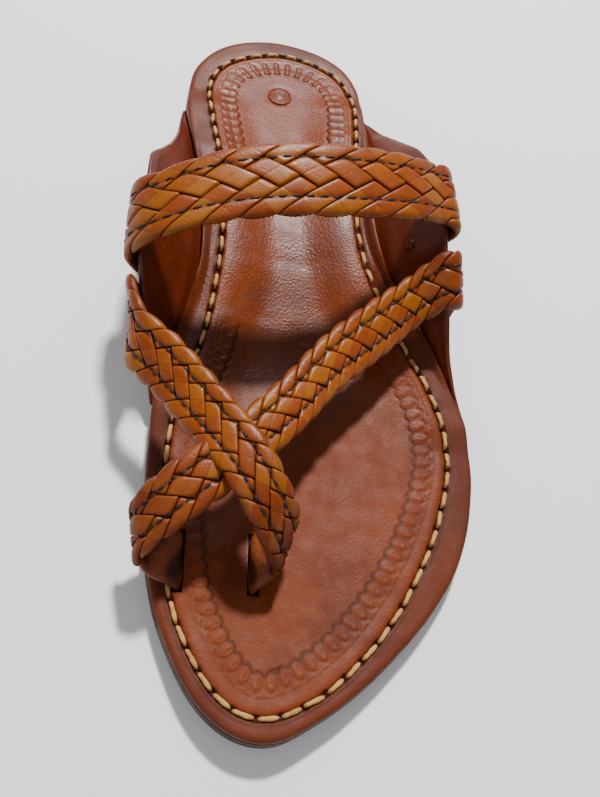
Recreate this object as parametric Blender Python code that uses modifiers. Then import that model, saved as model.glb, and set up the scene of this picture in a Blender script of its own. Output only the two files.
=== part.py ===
"""Kolhapuri sandal, the wearer's left shoe, standing empty on its sole.

Leather pieces laid up as a maker lays them: a heel block, an outsole, two side ears whose
roots lie on the outsole, an insole over the roots, and a plaited upper. The upper is one
instep strap nailed round the ears, and two toe straps that are joined where they cross and
go down through two slits in the insole, to make a loop for the big toe.

+X is the outer side of the foot, -Y points at the toe and +Z is up. The origin is on the
floor under the heel seat's centre. Sizes are in metres, and tables hold shares of them.
"""

import math

import bmesh
import bpy
import numpy as np

# Driving sizes of the sole
SOLE_LENGTH = 0.2655
BALL_WIDTH = 0.1048
WAIST_WIDTH = 0.0645
HEEL_WIDTH = 0.0688
HEEL_BEHIND_ORIGIN = 0.0352
OUTSOLE_THICKNESS = 0.0062
INSOLE_THICKNESS = 0.0028
INSOLE_STEP = 0.0014
HEEL_RISE = 0.0120
HEEL_BREAST = 0.0620
TOE_SPRING = 0.0030
TOE_SPRING_RUN = 0.0480
GAP = 0.0003
SEAT = 0.0007

# Driving sizes of the ears
EAR_THICKNESS = 0.0025
EAR_HEIGHT = 0.0320
EAR_FLARE = 0.0200
EAR_TAB = 0.0110
EAR_BEND = 0.0030
TAB_FADE = 0.007
# Shares of an ear: of its sheet that lies flat, of its thickness left at both ends, of its
# thickness taken off the free edge and of its wall below that skive
EAR_ROOT = 0.25
EAR_SKIVE = 0.35
EDGE_SKIVE = 0.35
EDGE_SKIVE_FROM = 0.80
# Share of the sole's length over which the insole comes down beyond an ear
EAR_FADE = 0.045

# Driving sizes of the plaited straps
STRAP_THICKNESS = 0.0036
STRAP_CROWN = 0.0009
CREST_RISE = 0.0027
INSTEP_HEIGHT = 0.0660
INSTEP_PITCH = 0.0104
TOE_STRAP_HEIGHT = 0.0400
TOE_PITCH = 0.0076
SCALLOP = 0.0007
INSTEP_LANES = 4
TOE_LANES = 3
TAB_THICKNESS = 0.0026
SLIT_LENGTH = 0.0180
SLIT_INNER = 0.0250
SLIT_OUTER = 0.0030
SLIT_FORWARD = 0.1810
SLIT_PLAY = 0.0005
SLIT_CUT = 0.0500
TAB_CLEAR = 0.0010
# Shares of a strap's thickness: under its strips, in its creases and taken off its edges
STRAP_CORE = 0.62
CREASE = 0.35
EDGE_THIN = 0.45
# Shares of the strap's length: where the plait fades out, and the plain tab of each toe strap
PLAIT_FADE = 0.03
INNER_TAB = 0.16
OUTER_TAB = 0.12
# Round free edge of an ear under a strap, as shares of its thickness, and the height on the
# ear that gives the wall's direction there
EDGE_ROUND = 0.40
CREST_INSET = 0.25
CREST_FROM = 0.93

# Outline of the sole: along is a share of the length from the heel, and inner and outer are
# shares of the width named beside them
OUTLINE = [
    # along, width, inner, outer
    (0.000, HEEL_WIDTH, -0.015, -0.015),
    (0.020, HEEL_WIDTH, 0.270, 0.300),
    (0.052, HEEL_WIDTH, 0.402, 0.430),
    (0.100, HEEL_WIDTH, 0.482, 0.492),
    (0.165, HEEL_WIDTH, 0.497, 0.503),
    (0.250, WAIST_WIDTH, 0.472, 0.530),
    (0.340, WAIST_WIDTH, 0.405, 0.550),
    (0.420, WAIST_WIDTH, 0.388, 0.612),
    (0.500, BALL_WIDTH, 0.275, 0.485),
    (0.570, BALL_WIDTH, 0.322, 0.585),
    (0.630, BALL_WIDTH, 0.350, 0.642),
    (0.680, BALL_WIDTH, 0.351, 0.649),
    (0.740, BALL_WIDTH, 0.347, 0.629),
    (0.800, BALL_WIDTH, 0.335, 0.580),
    (0.860, BALL_WIDTH, 0.302, 0.484),
    (0.910, BALL_WIDTH, 0.252, 0.367),
    (0.955, BALL_WIDTH, 0.187, 0.236),
    (0.985, BALL_WIDTH, 0.110, 0.116),
    (1.000, BALL_WIDTH, -0.005, 0.005),
]

# Rise of the outsole's underside from the forefoot to the heel block
SHANK = [
    # along, share of the heel's rise
    (0.000, 1.00),
    (0.235, 1.00),
    (0.340, 0.84),
    (0.420, 0.54),
    (0.500, 0.18),
    (0.570, 0.00),
    (1.000, 0.00),
]

# Ears: rise is a share of the ear's height and flare a share of the ear's flare
OUTER_EAR = [
    # along, rise, flare
    (0.145, 0.02, 0.05),
    (0.183, 0.15, 0.29),
    (0.232, 0.43, 0.54),
    (0.285, 0.74, 0.73),
    (0.345, 0.94, 0.80),
    (0.406, 0.97, 0.77),
    (0.458, 0.86, 0.57),
    (0.504, 0.60, 0.34),
    (0.549, 0.28, 0.16),
    (0.594, 0.09, 0.06),
    (0.620, 0.02, 0.04),
]
INNER_EAR = [
    # along, rise, flare
    (0.170, 0.02, 0.04),
    (0.220, 0.12, 0.20),
    (0.270, 0.32, 0.42),
    (0.315, 0.60, 0.68),
    (0.360, 0.88, 0.90),
    (0.413, 1.00, 0.94),
    (0.466, 0.97, 0.88),
    (0.515, 0.82, 0.68),
    (0.560, 0.48, 0.36),
    (0.594, 0.18, 0.17),
    (0.622, 0.02, 0.03),
]

# Ends of the straps, nailed to the ears' outer faces: the side, the stations under the strap's
# back and front edges, and the heights on the ear that it is pressed to
INSTEP_OUTER_END = (1, 0.340, 0.425, (0.70, 0.80, 0.90))
INSTEP_INNER_END = (-1, 0.420, 0.500, (0.70, 0.80, 0.90))
TOE_OUTER_END = (1, 0.446, 0.500, (0.74, 0.88))
TOE_INNER_END = (-1, 0.515, 0.566, (0.74, 0.88))

# Free stretches of the straps, as the two edges of the inner face. x is a share of the ball
# width, y a share of the sole's length and z a share of the strap's own height.
INSTEP_STRAP = [
    # back edge x, y, z, front edge x, y, z
    (0.462, -0.212, 0.770, 0.490, -0.290, 0.700),
    (0.350, -0.230, 0.870, 0.375, -0.308, 0.790),
    (0.165, -0.250, 0.960, 0.140, -0.332, 0.860),
    (-0.030, -0.262, 0.970, -0.040, -0.345, 0.870),
    (-0.225, -0.278, 0.920, -0.220, -0.358, 0.830),
    (-0.350, -0.292, 0.840, -0.345, -0.370, 0.760),
]
INNER_TOE_STRAP = [
    # rear edge x, y, z, front edge x, y, z
    (-0.370, -0.438, 0.970, -0.405, -0.482, 0.660),
    (-0.290, -0.466, 0.970, -0.350, -0.508, 0.690),
    (-0.160, -0.525, 0.960, -0.243, -0.564, 0.770),
    (-0.030, -0.594, 0.970, -0.130, -0.628, 0.880),
    (0.024, -0.630, 0.890, -0.064, -0.667, 0.790),
    (0.046, -0.645, 0.700, -0.012, -0.692, 0.580),
    (0.030, -0.648, 0.460, 0.008, -0.708, 0.410),
]
OUTER_TOE_STRAP = [
    # rear edge x, y, z, front edge x, y, z
    (0.425, -0.333, 0.880, 0.442, -0.386, 0.640),
    (0.280, -0.380, 0.840, 0.305, -0.441, 0.640),
    (0.130, -0.438, 0.830, 0.170, -0.496, 0.700),
    (0.005, -0.502, 0.840, 0.060, -0.556, 0.750),
    (-0.110, -0.552, 0.850, -0.060, -0.606, 0.780),
    (-0.215, -0.590, 0.850, -0.160, -0.645, 0.770),
    (-0.300, -0.618, 0.790, -0.250, -0.672, 0.680),
    (-0.352, -0.640, 0.620, -0.325, -0.696, 0.530),
    (-0.330, -0.647, 0.440, -0.312, -0.710, 0.400),
]

# Meshing
STATIONS = 40
HEEL_STEPS = 12
OUTSOLE_RING = 0.006
TOE_MIDDLE = 0.18
HEEL_MIDDLE = 0.40
EAR_STEPS = 27
EAR_RISE_STEPS = 6
INSTEP_STEPS_PER_CELL = 4
TOE_STEPS_PER_CELL = 4
WALL_SAMPLES = 25
WALL_FROM = 0.30
PATH_SAMPLES = 40
SHARP_ANGLE = 40


def slopes(table, column):
    """A table's places and values, with slopes that never overshoot its rows."""
    x = np.array([row[0] for row in table])
    y = np.array([row[column] for row in table])
    rise = np.diff(y) / np.diff(x)
    slope = np.zeros(len(x))
    slope[0], slope[-1] = rise[0], rise[-1]
    for i in range(1, len(x) - 1):
        if rise[i - 1] * rise[i] > 0:
            slope[i] = 2 * rise[i - 1] * rise[i] / (rise[i - 1] + rise[i])
    return x, y, slope


def read(table, column, at):
    """Value of a column at a place between the table's rows, on a smooth curve."""
    x, y, slope = slopes(table, column)
    at = min(max(at, x[0]), x[-1])
    i = min(int(np.searchsorted(x, at, side="right")) - 1, len(x) - 2)
    span = x[i + 1] - x[i]
    t = (at - x[i]) / span
    a, b = y[i], y[i + 1]
    da, db = slope[i] * span, slope[i + 1] * span
    return a + t * (da + t * (3 * (b - a) - 2 * da - db + t * (2 * (a - b) + da + db)))


def soft_step(low, high, value):
    """0 below low, 1 above high and a smooth rise between."""
    t = min(max((value - low) / (high - low), 0.0), 1.0)
    return t * t * (3 - 2 * t)


def turn(along):
    """Angle that spreads stations closely at the round ends of the sole."""
    return math.acos(1 - 2 * along)


EDGE = [(turn(a), -i * w, o * w) for a, w, i, o in OUTLINE]


def y_at(along):
    return HEEL_BEHIND_ORIGIN - along * SOLE_LENGTH


def along_at(y):
    return (HEEL_BEHIND_ORIGIN - y) / SOLE_LENGTH


def edge_x(side, along):
    """Sole's edge on the inner side (-1) or the outer side (1)."""
    return read(EDGE, 1 if side < 0 else 2, turn(along))


def outsole_bottom(along):
    spring = max(0.0, (along - 1) * SOLE_LENGTH + TOE_SPRING_RUN) / TOE_SPRING_RUN
    return HEEL_RISE * read(SHANK, 1, along) + TOE_SPRING * spring ** 2


def outsole_top(along):
    return outsole_bottom(along) + OUTSOLE_THICKNESS


def ear_table(side):
    return INNER_EAR if side < 0 else OUTER_EAR


def ear_weight(side, along, height=0.0):
    """Share of the ear's full thickness: skived to both ends and to its free edge."""
    table = ear_table(side)
    ends = read(table, 1, along)
    edge = 1 - EDGE_SKIVE * soft_step(EDGE_SKIVE_FROM, 1.0, height)
    return min(1.0, EAR_SKIVE + ends / EAR_SKIVE) * edge


def ear_point(side, along, height, out=0.0):
    """Point on the ear's outer face, height 0 at the root's inner edge and 1 at the free
    edge, moved off the face by out."""
    table = ear_table(side)
    edge = abs(edge_x(side, along))
    rise = EAR_HEIGHT * read(table, 1, along)
    flare = EAR_FLARE * read(table, 2, along)
    start = np.array([edge - EAR_BEND, 0.0])
    knee = np.array([edge + min(EAR_BEND / 2, flare), 0.0])
    tip = np.array([edge + flare, rise])
    if height <= EAR_ROOT:
        point = start - np.array([EAR_TAB * (1 - height / EAR_ROOT), 0.0])
        run = np.array([1.0, 0.0])
    else:
        t = (height - EAR_ROOT) / (1 - EAR_ROOT)
        point = (1 - t) ** 2 * start + 2 * t * (1 - t) * knee + t * t * tip
        run = (1 - t) * (knee - start) + t * (tip - knee)
    run = run / np.linalg.norm(run)
    point = point + out * np.array([run[1], -run[0]])
    base = outsole_top(along) + GAP
    return np.array([side * point[0], y_at(along), base + point[1]])


def clear_of_ear(point):
    """The point, moved off the ear's outer face or free edge if it is too close."""
    side = -1 if point[0] < 0 else 1
    along = along_at(point[1])
    table = ear_table(side)
    if not table[0][0] < along < table[-1][0]:
        return point
    wall = np.linspace(WALL_FROM, 1.0, WALL_SAMPLES)
    outer = np.array([ear_point(side, along, height) for height in wall])
    away = np.array([ear_point(side, along, height, 1.0) for height in wall]) - outer
    near = int(np.argmin(np.linalg.norm(outer - point, axis=1)))
    depth = float(np.dot(point - outer[near], away[near]))
    if near < len(outer) - 1:
        if -EAR_THICKNESS < depth < SEAT:
            return point + away[near] * (SEAT - depth)
        return point
    middle = outer[-1] - away[-1] * EAR_THICKNESS * EDGE_ROUND
    reach = np.linalg.norm(point - middle)
    wanted = EAR_THICKNESS * EDGE_ROUND + SEAT + 2 * GAP
    return middle + (point - middle) * max(1.0, wanted / reach)


def ear_lift(side, x, along):
    """Height over the outsole's gap at which the insole clears the ear's root and bend."""
    table = ear_table(side)
    first, last = table[0][0], table[-1][0]
    inside = soft_step(first - EAR_FADE, first, along)
    inside *= 1 - soft_step(last, last + EAR_FADE, along)
    here = min(max(along, first), last)
    clear = EAR_THICKNESS * ear_weight(side, here) + SEAT + GAP
    floor = outsole_top(here) + GAP
    sheet = np.linspace(EAR_ROOT, EDGE_SKIVE_FROM, WALL_SAMPLES)
    bend = [ear_point(side, here, height, -clear) for height in sheet]
    over = np.interp(abs(x), [abs(p[0]) for p in bend], [p[2] for p in bend]) - floor
    return inside * max(over, clear)


def new_material(name, color, roughness, metallic=0.0):
    material = bpy.data.materials.new(name)
    material.use_nodes = True
    shader = material.node_tree.nodes["Principled BSDF"]
    shader.inputs["Base Color"].default_value = (*color, 1.0)
    shader.inputs["Roughness"].default_value = roughness
    shader.inputs["Metallic"].default_value = metallic
    return material


def new_object(name, verts, faces, collection, material=None):
    mesh = bpy.data.meshes.new(name)
    mesh.from_pydata([tuple(v) for v in verts], [], faces)
    mesh.shade_smooth()
    mesh.set_sharp_from_angle(angle=math.radians(SHARP_ANGLE))
    if material:
        mesh.materials.append(material)
    item = bpy.data.objects.new(name, mesh)
    collection.objects.link(item)
    return item


def clean(item):
    """Welds equal points and turns a closed mesh's faces outwards."""
    work = bmesh.new()
    work.from_mesh(item.data)
    bmesh.ops.remove_doubles(work, verts=work.verts, dist=1e-6)
    bmesh.ops.recalc_face_normals(work, faces=work.faces)
    work.to_mesh(item.data)
    work.free()


def face_up(item):
    """Turns an open sheet's faces to the side that looks up."""
    if sum(face.normal.z * face.area for face in item.data.polygons) < 0:
        item.data.flip_normals()


def thicken(item, thickness, weights=None):
    """Thickens an open sheet to the side that its faces look to."""
    solid = item.modifiers.new("Thickness", "SOLIDIFY")
    solid.thickness = thickness
    solid.offset = 1.0
    solid.use_even_offset = True
    if weights is not None:
        group = item.vertex_groups.new(name="thickness")
        for index, weight in enumerate(weights):
            group.add([index], float(weight), "REPLACE")
        solid.vertex_group = "thickness"


def grid_faces(rows, columns):
    return [
        (i * columns + j, i * columns + j + 1, (i + 1) * columns + j + 1, (i + 1) * columns + j)
        for i in range(rows - 1)
        for j in range(columns - 1)
    ]


def creased_faces(rows, columns, weights):
    """Triangles of a grid, each quad split along its lower diagonal, where the creases run."""
    faces = []
    for a, b, c, d in grid_faces(rows, columns):
        if weights[a] + weights[c] <= weights[b] + weights[d]:
            faces += [(a, b, c), (a, c, d)]
        else:
            faces += [(a, b, d), (b, c, d)]
    return faces


def sole_loop(inset):
    """The sole's outline from the heel round the outer side to the toe and back, as points
    with the side and station that they belong to."""
    alongs = [(1 - math.cos(math.pi * i / STATIONS)) / 2 for i in range(STATIONS + 1)]
    loop = [(1, a) for a in alongs] + [(-1, a) for a in alongs[-2:0:-1]]
    raw = np.array([[edge_x(side, a), y_at(a)] for side, a in loop])
    run = np.roll(raw, -1, axis=0) - np.roll(raw, 1, axis=0)
    run = run / np.linalg.norm(run, axis=1)[:, None]
    inward = np.column_stack([run[:, 1], -run[:, 0]])
    if inward[STATIONS // 2][0] > 0:
        inward = -inward
    return loop, raw + inset * inward


def spine_point(along):
    """Middle of the sole, kept back from both round ends."""
    toe_end = y_at(1) + TOE_MIDDLE * BALL_WIDTH
    heel_end = y_at(0) - HEEL_MIDDLE * HEEL_WIDTH
    y = min(max(y_at(along), toe_end), heel_end)
    here = along_at(y)
    return np.array([(edge_x(-1, here) + edge_x(1, here)) / 2, y])


def layer(name, inset, rings, height, collection, material):
    """Open sheet over the whole sole: rings are distances from the sheet's own edge."""
    loop, edge = sole_loop(inset)
    count = len(loop)
    verts = []
    for depth in rings + [None]:
        for (side, along), point in zip(loop, edge):
            middle = spine_point(along)
            reach = np.linalg.norm(middle - point)
            share = 1.0 if depth is None else min(depth / reach, 0.9)
            x, y = point + (middle - point) * share
            verts.append((x, y, height(side, x, y, reach * share)))
    faces = []
    for ring in range(len(rings)):
        for i in range(count):
            j = (i + 1) % count
            a, b = ring * count, (ring + 1) * count
            faces.append((a + i, a + j, b + j, b + i))
    item = new_object(name, verts, faces, collection, material)
    clean(item)
    face_up(item)
    return item


def make_heel(collection, material):
    """Heel block under the seat, cut straight across at its breast."""
    last = HEEL_BREAST / SOLE_LENGTH
    turns = np.linspace(0, math.pi / 2, HEEL_STEPS + 1)
    alongs = [last * (1 - math.cos(angle)) for angle in turns]
    outer = [(edge_x(1, a), y_at(a)) for a in alongs]
    inner = [(edge_x(-1, a), y_at(a)) for a in alongs[:0:-1]]
    outline = outer + inner
    curve = bpy.data.curves.new("heel", "CURVE")
    curve.dimensions = "2D"
    curve.fill_mode = "BOTH"
    curve.extrude = (HEEL_RISE - GAP) / 2
    line = curve.splines.new("POLY")
    line.points.add(len(outline) - 1)
    for point, (x, y) in zip(line.points, outline):
        point.co = (x, y, 0, 1)
    line.use_cyclic_u = True
    guide = bpy.data.objects.new("heel_outline", curve)
    collection.objects.link(guide)
    bpy.context.view_layer.update()
    graph = bpy.context.evaluated_depsgraph_get()
    mesh = bpy.data.meshes.new_from_object(guide.evaluated_get(graph))
    bpy.data.objects.remove(guide)
    mesh.name = "heel"
    mesh.materials.clear()
    mesh.materials.append(material)
    item = bpy.data.objects.new("heel", mesh)
    item.location = (0, 0, (HEEL_RISE - GAP) / 2)
    collection.objects.link(item)
    clean(item)
    return item


def make_outsole(collection, material):
    def height(side, x, y, depth):
        return outsole_bottom(along_at(y))

    item = layer("outsole", 0.0, [0.0, OUTSOLE_RING], height, collection, material)
    thicken(item, OUTSOLE_THICKNESS)
    return item


def make_insole(collection, cutters, material):
    """Insole over the ears' roots, with the two slits of the toe loop."""

    def height(side, x, y, depth):
        along = along_at(y)
        root = 1 - soft_step(tab_end, tab_end + TAB_FADE, depth)
        return outsole_top(along) + GAP + ear_lift(side, x, along) * root

    bend = EAR_BEND - INSOLE_STEP
    tab_end = EAR_BEND + EAR_TAB - INSOLE_STEP + 3 * GAP
    rings = [0.0, bend, 1.5 * EAR_BEND, tab_end, tab_end + TAB_FADE / 2, tab_end + TAB_FADE]
    item = layer("insole", INSOLE_STEP, rings, height, collection, material)
    thicken(item, INSOLE_THICKNESS)
    for x in (-SLIT_INNER, -SLIT_OUTER):
        level = outsole_top(along_at(-SLIT_FORWARD))
        bpy.ops.mesh.primitive_cube_add(size=1, location=(x, -SLIT_FORWARD, level))
        cutter = bpy.context.object
        cutter.name = f"slit_{'inner' if x < -SLIT_OUTER else 'outer'}"
        cutter.scale = (TAB_THICKNESS + 2 * SLIT_PLAY, SLIT_LENGTH + 2 * SLIT_PLAY, SLIT_CUT)
        bpy.ops.object.transform_apply(location=False, rotation=False, scale=True)
        for home in list(cutter.users_collection):
            home.objects.unlink(cutter)
        cutters.objects.link(cutter)
        cutter.hide_render = True
        cutter.display_type = "WIRE"
        cut = item.modifiers.new("Slit", "BOOLEAN")
        cut.operation = "DIFFERENCE"
        cut.object = cutter
    return item


def make_ear(name, side, collection, material):
    """Leather ear: a flat root on the outsole, a bend at the sole's edge and a flared wall."""
    table = ear_table(side)
    first, last = table[0][0], table[-1][0]
    heights = [0.0] + list(np.linspace(EAR_ROOT, 1.0, EAR_RISE_STEPS + 1))
    verts = []
    weights = []
    for i in range(EAR_STEPS + 1):
        along = first + (last - first) * i / EAR_STEPS
        for height in heights:
            verts.append(ear_point(side, along, height))
            weights.append(ear_weight(side, along, height))
    item = new_object(name, verts, grid_faces(EAR_STEPS + 1, len(heights)), collection, material)
    face_up(item)
    thicken(item, EAR_THICKNESS, weights)
    return item


def smooth_path(rows, count):
    """Evenly spaced samples of a smooth curve through rows, which hold a strap's back edge,
    middle and front edge."""
    rows = np.array(rows, dtype=float)
    steps = np.linalg.norm(np.diff(rows[:, 3:6], axis=0), axis=1)
    at = np.concatenate([[0.0], np.cumsum(np.sqrt(steps))])
    lean = np.gradient(rows, at, axis=0)
    fine = []
    for t in np.linspace(0, at[-1], PATH_SAMPLES * len(rows)):
        i = min(int(np.searchsorted(at, t, side="right")) - 1, len(at) - 2)
        span = at[i + 1] - at[i]
        u = (t - at[i]) / span
        a, b = rows[i], rows[i + 1]
        da, db = lean[i] * span, lean[i + 1] * span
        fine.append(a + u * (da + u * (3 * (b - a) - 2 * da - db + u * (2 * (a - b) + da + db))))
    fine = np.array(fine)
    steps = np.linalg.norm(np.diff(fine[:, 3:6], axis=0), axis=1)
    length = np.concatenate([[0.0], np.cumsum(steps)])
    even = np.linspace(0, length[-1], count + 1)
    return np.column_stack([np.interp(even, length, fine[:, c]) for c in range(9)]), length[-1]


def path_length(rows):
    return smooth_path(rows, 4)[1]


def plait_height(cells, across, lanes):
    """0 in the creases of a flat plait and 1 on its strips, cells along and -1 to 1 across."""
    lane = (across + 1) / 2 * lanes
    left = abs(math.sin(math.pi * (cells + lane / 2)))
    right = abs(math.sin(math.pi * (cells - lane / 2)))
    return min(left, right)


def make_strap(name, rows, pitch, per_cell, lanes, columns, plain, collection, material):
    """Plaited strap: its inner face is swept through rows and its strips stand up on the
    outer face. plain is the share at its end that is left unplaited."""
    cells = round(path_length(rows) / pitch)
    count = cells * per_cell
    samples = smooth_path(rows, count)[0]
    thin = TAB_THICKNESS / STRAP_THICKNESS
    verts = []
    weights = []
    for i, sample in enumerate(samples):
        back, middle, front = sample[:3], sample[3:6], sample[6:]
        half, sag = (front - back) / 2, (front + back) / 2 - middle
        share = i / count
        plaited = soft_step(0, PLAIT_FADE, share) * soft_step(0, PLAIT_FADE, 1 - plain - share)
        for j in range(columns + 1):
            across = 2 * j / columns - 1
            phase = cells * share + (0.5 if across > 0 else 0.0)
            leaf = abs(math.sin(math.pi * phase)) if abs(across) == 1 else 0.0
            reach = across * (1 + plaited * SCALLOP * leaf / np.linalg.norm(half))
            verts.append(clear_of_ear(middle + half * reach + sag * across ** 2))
            strip = plait_height(cells * share, across, lanes)
            relief = (CREASE + (1 - CREASE) * strip) * (1 - EDGE_THIN * across ** 4)
            raised = STRAP_CORE + (1 - STRAP_CORE) * relief
            weights.append(thin + (raised - thin) * plaited)
    faces = creased_faces(count + 1, columns + 1, weights)
    item = new_object(name, verts, faces, collection, material)
    face_up(item)
    thicken(item, STRAP_THICKNESS, weights)
    return item


def over_ear(side, back, front, heights):
    """Rows of a strap that comes up an ear's outer face and over its free edge. back and
    front are the ear's stations under the strap's two edges."""
    alongs = (back, (back + front) / 2, front)
    rows = [[ear_point(side, a, height, SEAT) for a in alongs] for height in heights]
    crest = []
    for along in alongs:
        low, top = ear_point(side, along, CREST_FROM), ear_point(side, along, 1.0)
        up = (top - low) / np.linalg.norm(top - low)
        out = ear_point(side, along, 1.0, 1.0) - top
        crest.append(top + up * CREST_RISE - out * EAR_THICKNESS * CREST_INSET)
    rows.append(crest)
    return [np.concatenate(row) for row in rows]


def free_rows(table, height):
    """A strap's table in metres, with its middle crowned a little above its edges."""
    size = np.array((BALL_WIDTH, SOLE_LENGTH, height))
    rows = []
    for row in table:
        back, front = np.array(row[:3]) * size, np.array(row[3:]) * size
        middle = (back + front) / 2 + np.array((0, 0, STRAP_CROWN))
        rows.append(np.concatenate([back, middle, front]))
    return rows


def into_slit(x, side):
    """Rows of a tab that goes down through its slit, its inner face to the toe's side."""
    face = x - side * TAB_THICKNESS / 2
    floor = outsole_top(along_at(-SLIT_FORWARD)) + 2 * GAP
    rows = []
    for height in (INSOLE_THICKNESS + TAB_CLEAR, 0.0):
        rear, middle, front = (
            (face, -SLIT_FORWARD + share * SLIT_LENGTH, floor + height) for share in (0.5, 0, -0.5)
        )
        rows.append(np.array(rear + middle + front))
    return rows


def make_instep_strap(collection, material):
    first = over_ear(*INSTEP_OUTER_END)
    last = over_ear(*INSTEP_INNER_END)
    rows = first + free_rows(INSTEP_STRAP, INSTEP_HEIGHT) + last[::-1]
    plait = (INSTEP_PITCH, INSTEP_STEPS_PER_CELL, INSTEP_LANES, 2 * INSTEP_LANES)
    return make_strap("instep_strap", rows, *plait, 0.0, collection, material)


def make_toe_straps(collection, cutters, material):
    """The two toe straps, joined into one solid where they cross."""
    inner = over_ear(*TOE_INNER_END) + free_rows(INNER_TOE_STRAP, TOE_STRAP_HEIGHT)
    inner += into_slit(-SLIT_OUTER, 1)
    outer = over_ear(*TOE_OUTER_END) + free_rows(OUTER_TOE_STRAP, TOE_STRAP_HEIGHT)
    outer += into_slit(-SLIT_INNER, -1)
    plait = (TOE_PITCH, TOE_STEPS_PER_CELL, TOE_LANES, 2 * TOE_LANES)
    top = make_strap("toe_strap_over", inner, *plait, INNER_TAB, cutters, material)
    item = make_strap("toe_straps", outer, *plait, OUTER_TAB, collection, material)
    top.hide_render = True
    top.display_type = "WIRE"
    join = item.modifiers.new("Crossing", "BOOLEAN")
    join.operation = "UNION"
    join.object = top
    return item


def build():
    for item in list(bpy.data.objects):
        bpy.data.objects.remove(item)
    sandal = bpy.data.collections.new("kolhapuri_sandal")
    cutters = bpy.data.collections.new("cutters")
    bpy.context.scene.collection.children.link(sandal)
    bpy.context.scene.collection.children.link(cutters)
    edge_leather = new_material("sole_leather", (0.045, 0.022, 0.016), 0.55)
    heel_leather = new_material("heel_leather", (0.040, 0.020, 0.015), 0.5)
    insole_leather = new_material("insole_leather", (0.23, 0.075, 0.030), 0.35)
    ear_leather = new_material("ear_leather", (0.13, 0.030, 0.012), 0.35)
    strap_leather = new_material("strap_leather", (0.46, 0.15, 0.025), 0.4)
    make_heel(sandal, heel_leather)
    make_outsole(sandal, edge_leather)
    make_insole(sandal, cutters, insole_leather)
    make_ear("ear_inner", -1, sandal, ear_leather)
    make_ear("ear_outer", 1, sandal, ear_leather)
    make_instep_strap(sandal, strap_leather)
    make_toe_straps(sandal, cutters, strap_leather)


build()
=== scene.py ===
# %% [markdown]
# A plaited leather sandal. The real one is cut, tooled, stitched and plaited by hand, so it has
# no straight line and no two equal stitches. The solid model underneath gives every piece its
# place and size. Here each piece gets what the eye sees: strips that pass over and under,
# cord that dips into its holes, stamped borders, and leather that is worn, waxed and creased.

# %% Load the solid model
import math

import bmesh
import bpy
import numpy as np
from mathutils import Matrix, Vector
from mathutils.bvhtree import BVHTree


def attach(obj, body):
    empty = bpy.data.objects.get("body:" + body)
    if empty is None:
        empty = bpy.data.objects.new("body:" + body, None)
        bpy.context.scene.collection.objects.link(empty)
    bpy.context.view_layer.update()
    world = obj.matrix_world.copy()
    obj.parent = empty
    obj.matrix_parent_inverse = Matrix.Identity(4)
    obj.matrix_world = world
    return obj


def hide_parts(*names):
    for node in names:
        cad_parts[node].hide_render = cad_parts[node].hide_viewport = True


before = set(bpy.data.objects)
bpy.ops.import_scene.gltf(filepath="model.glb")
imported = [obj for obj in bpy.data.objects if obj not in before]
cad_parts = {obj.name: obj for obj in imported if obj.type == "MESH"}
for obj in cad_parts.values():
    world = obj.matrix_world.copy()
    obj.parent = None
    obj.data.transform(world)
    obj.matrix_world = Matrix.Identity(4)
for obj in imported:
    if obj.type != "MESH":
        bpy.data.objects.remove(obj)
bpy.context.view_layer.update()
print("solid model:", sorted(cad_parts))

# %% [markdown]
# The camera stands in front of the toe, to the inner side, and looks down at 57 degrees. Its
# place was solved from the flat outline of the sole. It is turned straight at the middle of
# the shoe, with no lens shift, and its lens is a little longer, so that one shoe fills the view.

# %% Camera
CAMERA_PLACE = Vector((-0.03155, -0.25804, 0.24200))
CAMERA_RIGHT = Vector((0.9947, 0.10279, 0.0))
CAMERA_AHEAD = Vector((-0.05598, 0.54175, -0.83867))
AIM = Vector((0.0093, -0.1294, 0.0180))
LENS = 37.5

camera = bpy.data.objects.new("camera", bpy.data.cameras.new("camera"))
bpy.context.scene.collection.objects.link(camera)
camera.data.sensor_fit = "VERTICAL"
camera.data.sensor_height = 36.0
camera.data.lens = LENS
camera.data.clip_start = 0.01
solved = Matrix((CAMERA_RIGHT, CAMERA_RIGHT.cross(CAMERA_AHEAD), -CAMERA_AHEAD)).transposed()
turned = CAMERA_AHEAD.rotation_difference((AIM - CAMERA_PLACE).normalized())
camera.matrix_world = Matrix.Translation(CAMERA_PLACE) @ (turned.to_matrix() @ solved).to_4x4()
bpy.context.scene.camera = camera
print("camera looks at", tuple(round(v, 3) for v in AIM))

# %% [markdown]
# A studio table: a pale floor, a soft light high behind the heel, a cooler one below it that
# gives the waxed heel pad its sheen, a weak fill from the front, and an even surround.

# %% Floor and lights
FLOOR_SIZE = 6.0
floor_mesh = bpy.data.meshes.new("floor")
half = FLOOR_SIZE / 2
corners = [(-half, -half, 0), (half, -half, 0), (half, half, 0), (-half, half, 0)]
floor_mesh.from_pydata(corners, [], [(0, 1, 2, 3)])
floor = bpy.data.objects.new("floor", floor_mesh)
bpy.context.scene.collection.objects.link(floor)
floor_paint = bpy.data.materials.new("pale_floor")
floor_paint.use_nodes = True
floor_shader = floor_paint.node_tree.nodes["Principled BSDF"]
floor_shader.inputs["Base Color"].default_value = (0.95, 0.95, 0.95, 1)
floor_shader.inputs["Roughness"].default_value = 0.9
floor_mesh.materials.append(floor_paint)


def soft_light(name, place, target, size, watts, tint):
    """A rectangular light that looks at a point. size is its width and its height."""
    lamp = bpy.data.lights.new(name, "AREA")
    lamp.shape = "RECTANGLE"
    lamp.size, lamp.size_y = size
    lamp.energy = watts
    lamp.color = tint
    item = bpy.data.objects.new(name, lamp)
    item.location = place
    item.rotation_euler = (Vector(target) - Vector(place)).to_track_quat("-Z", "Y").to_euler()
    bpy.context.scene.collection.objects.link(item)
    return item


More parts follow.
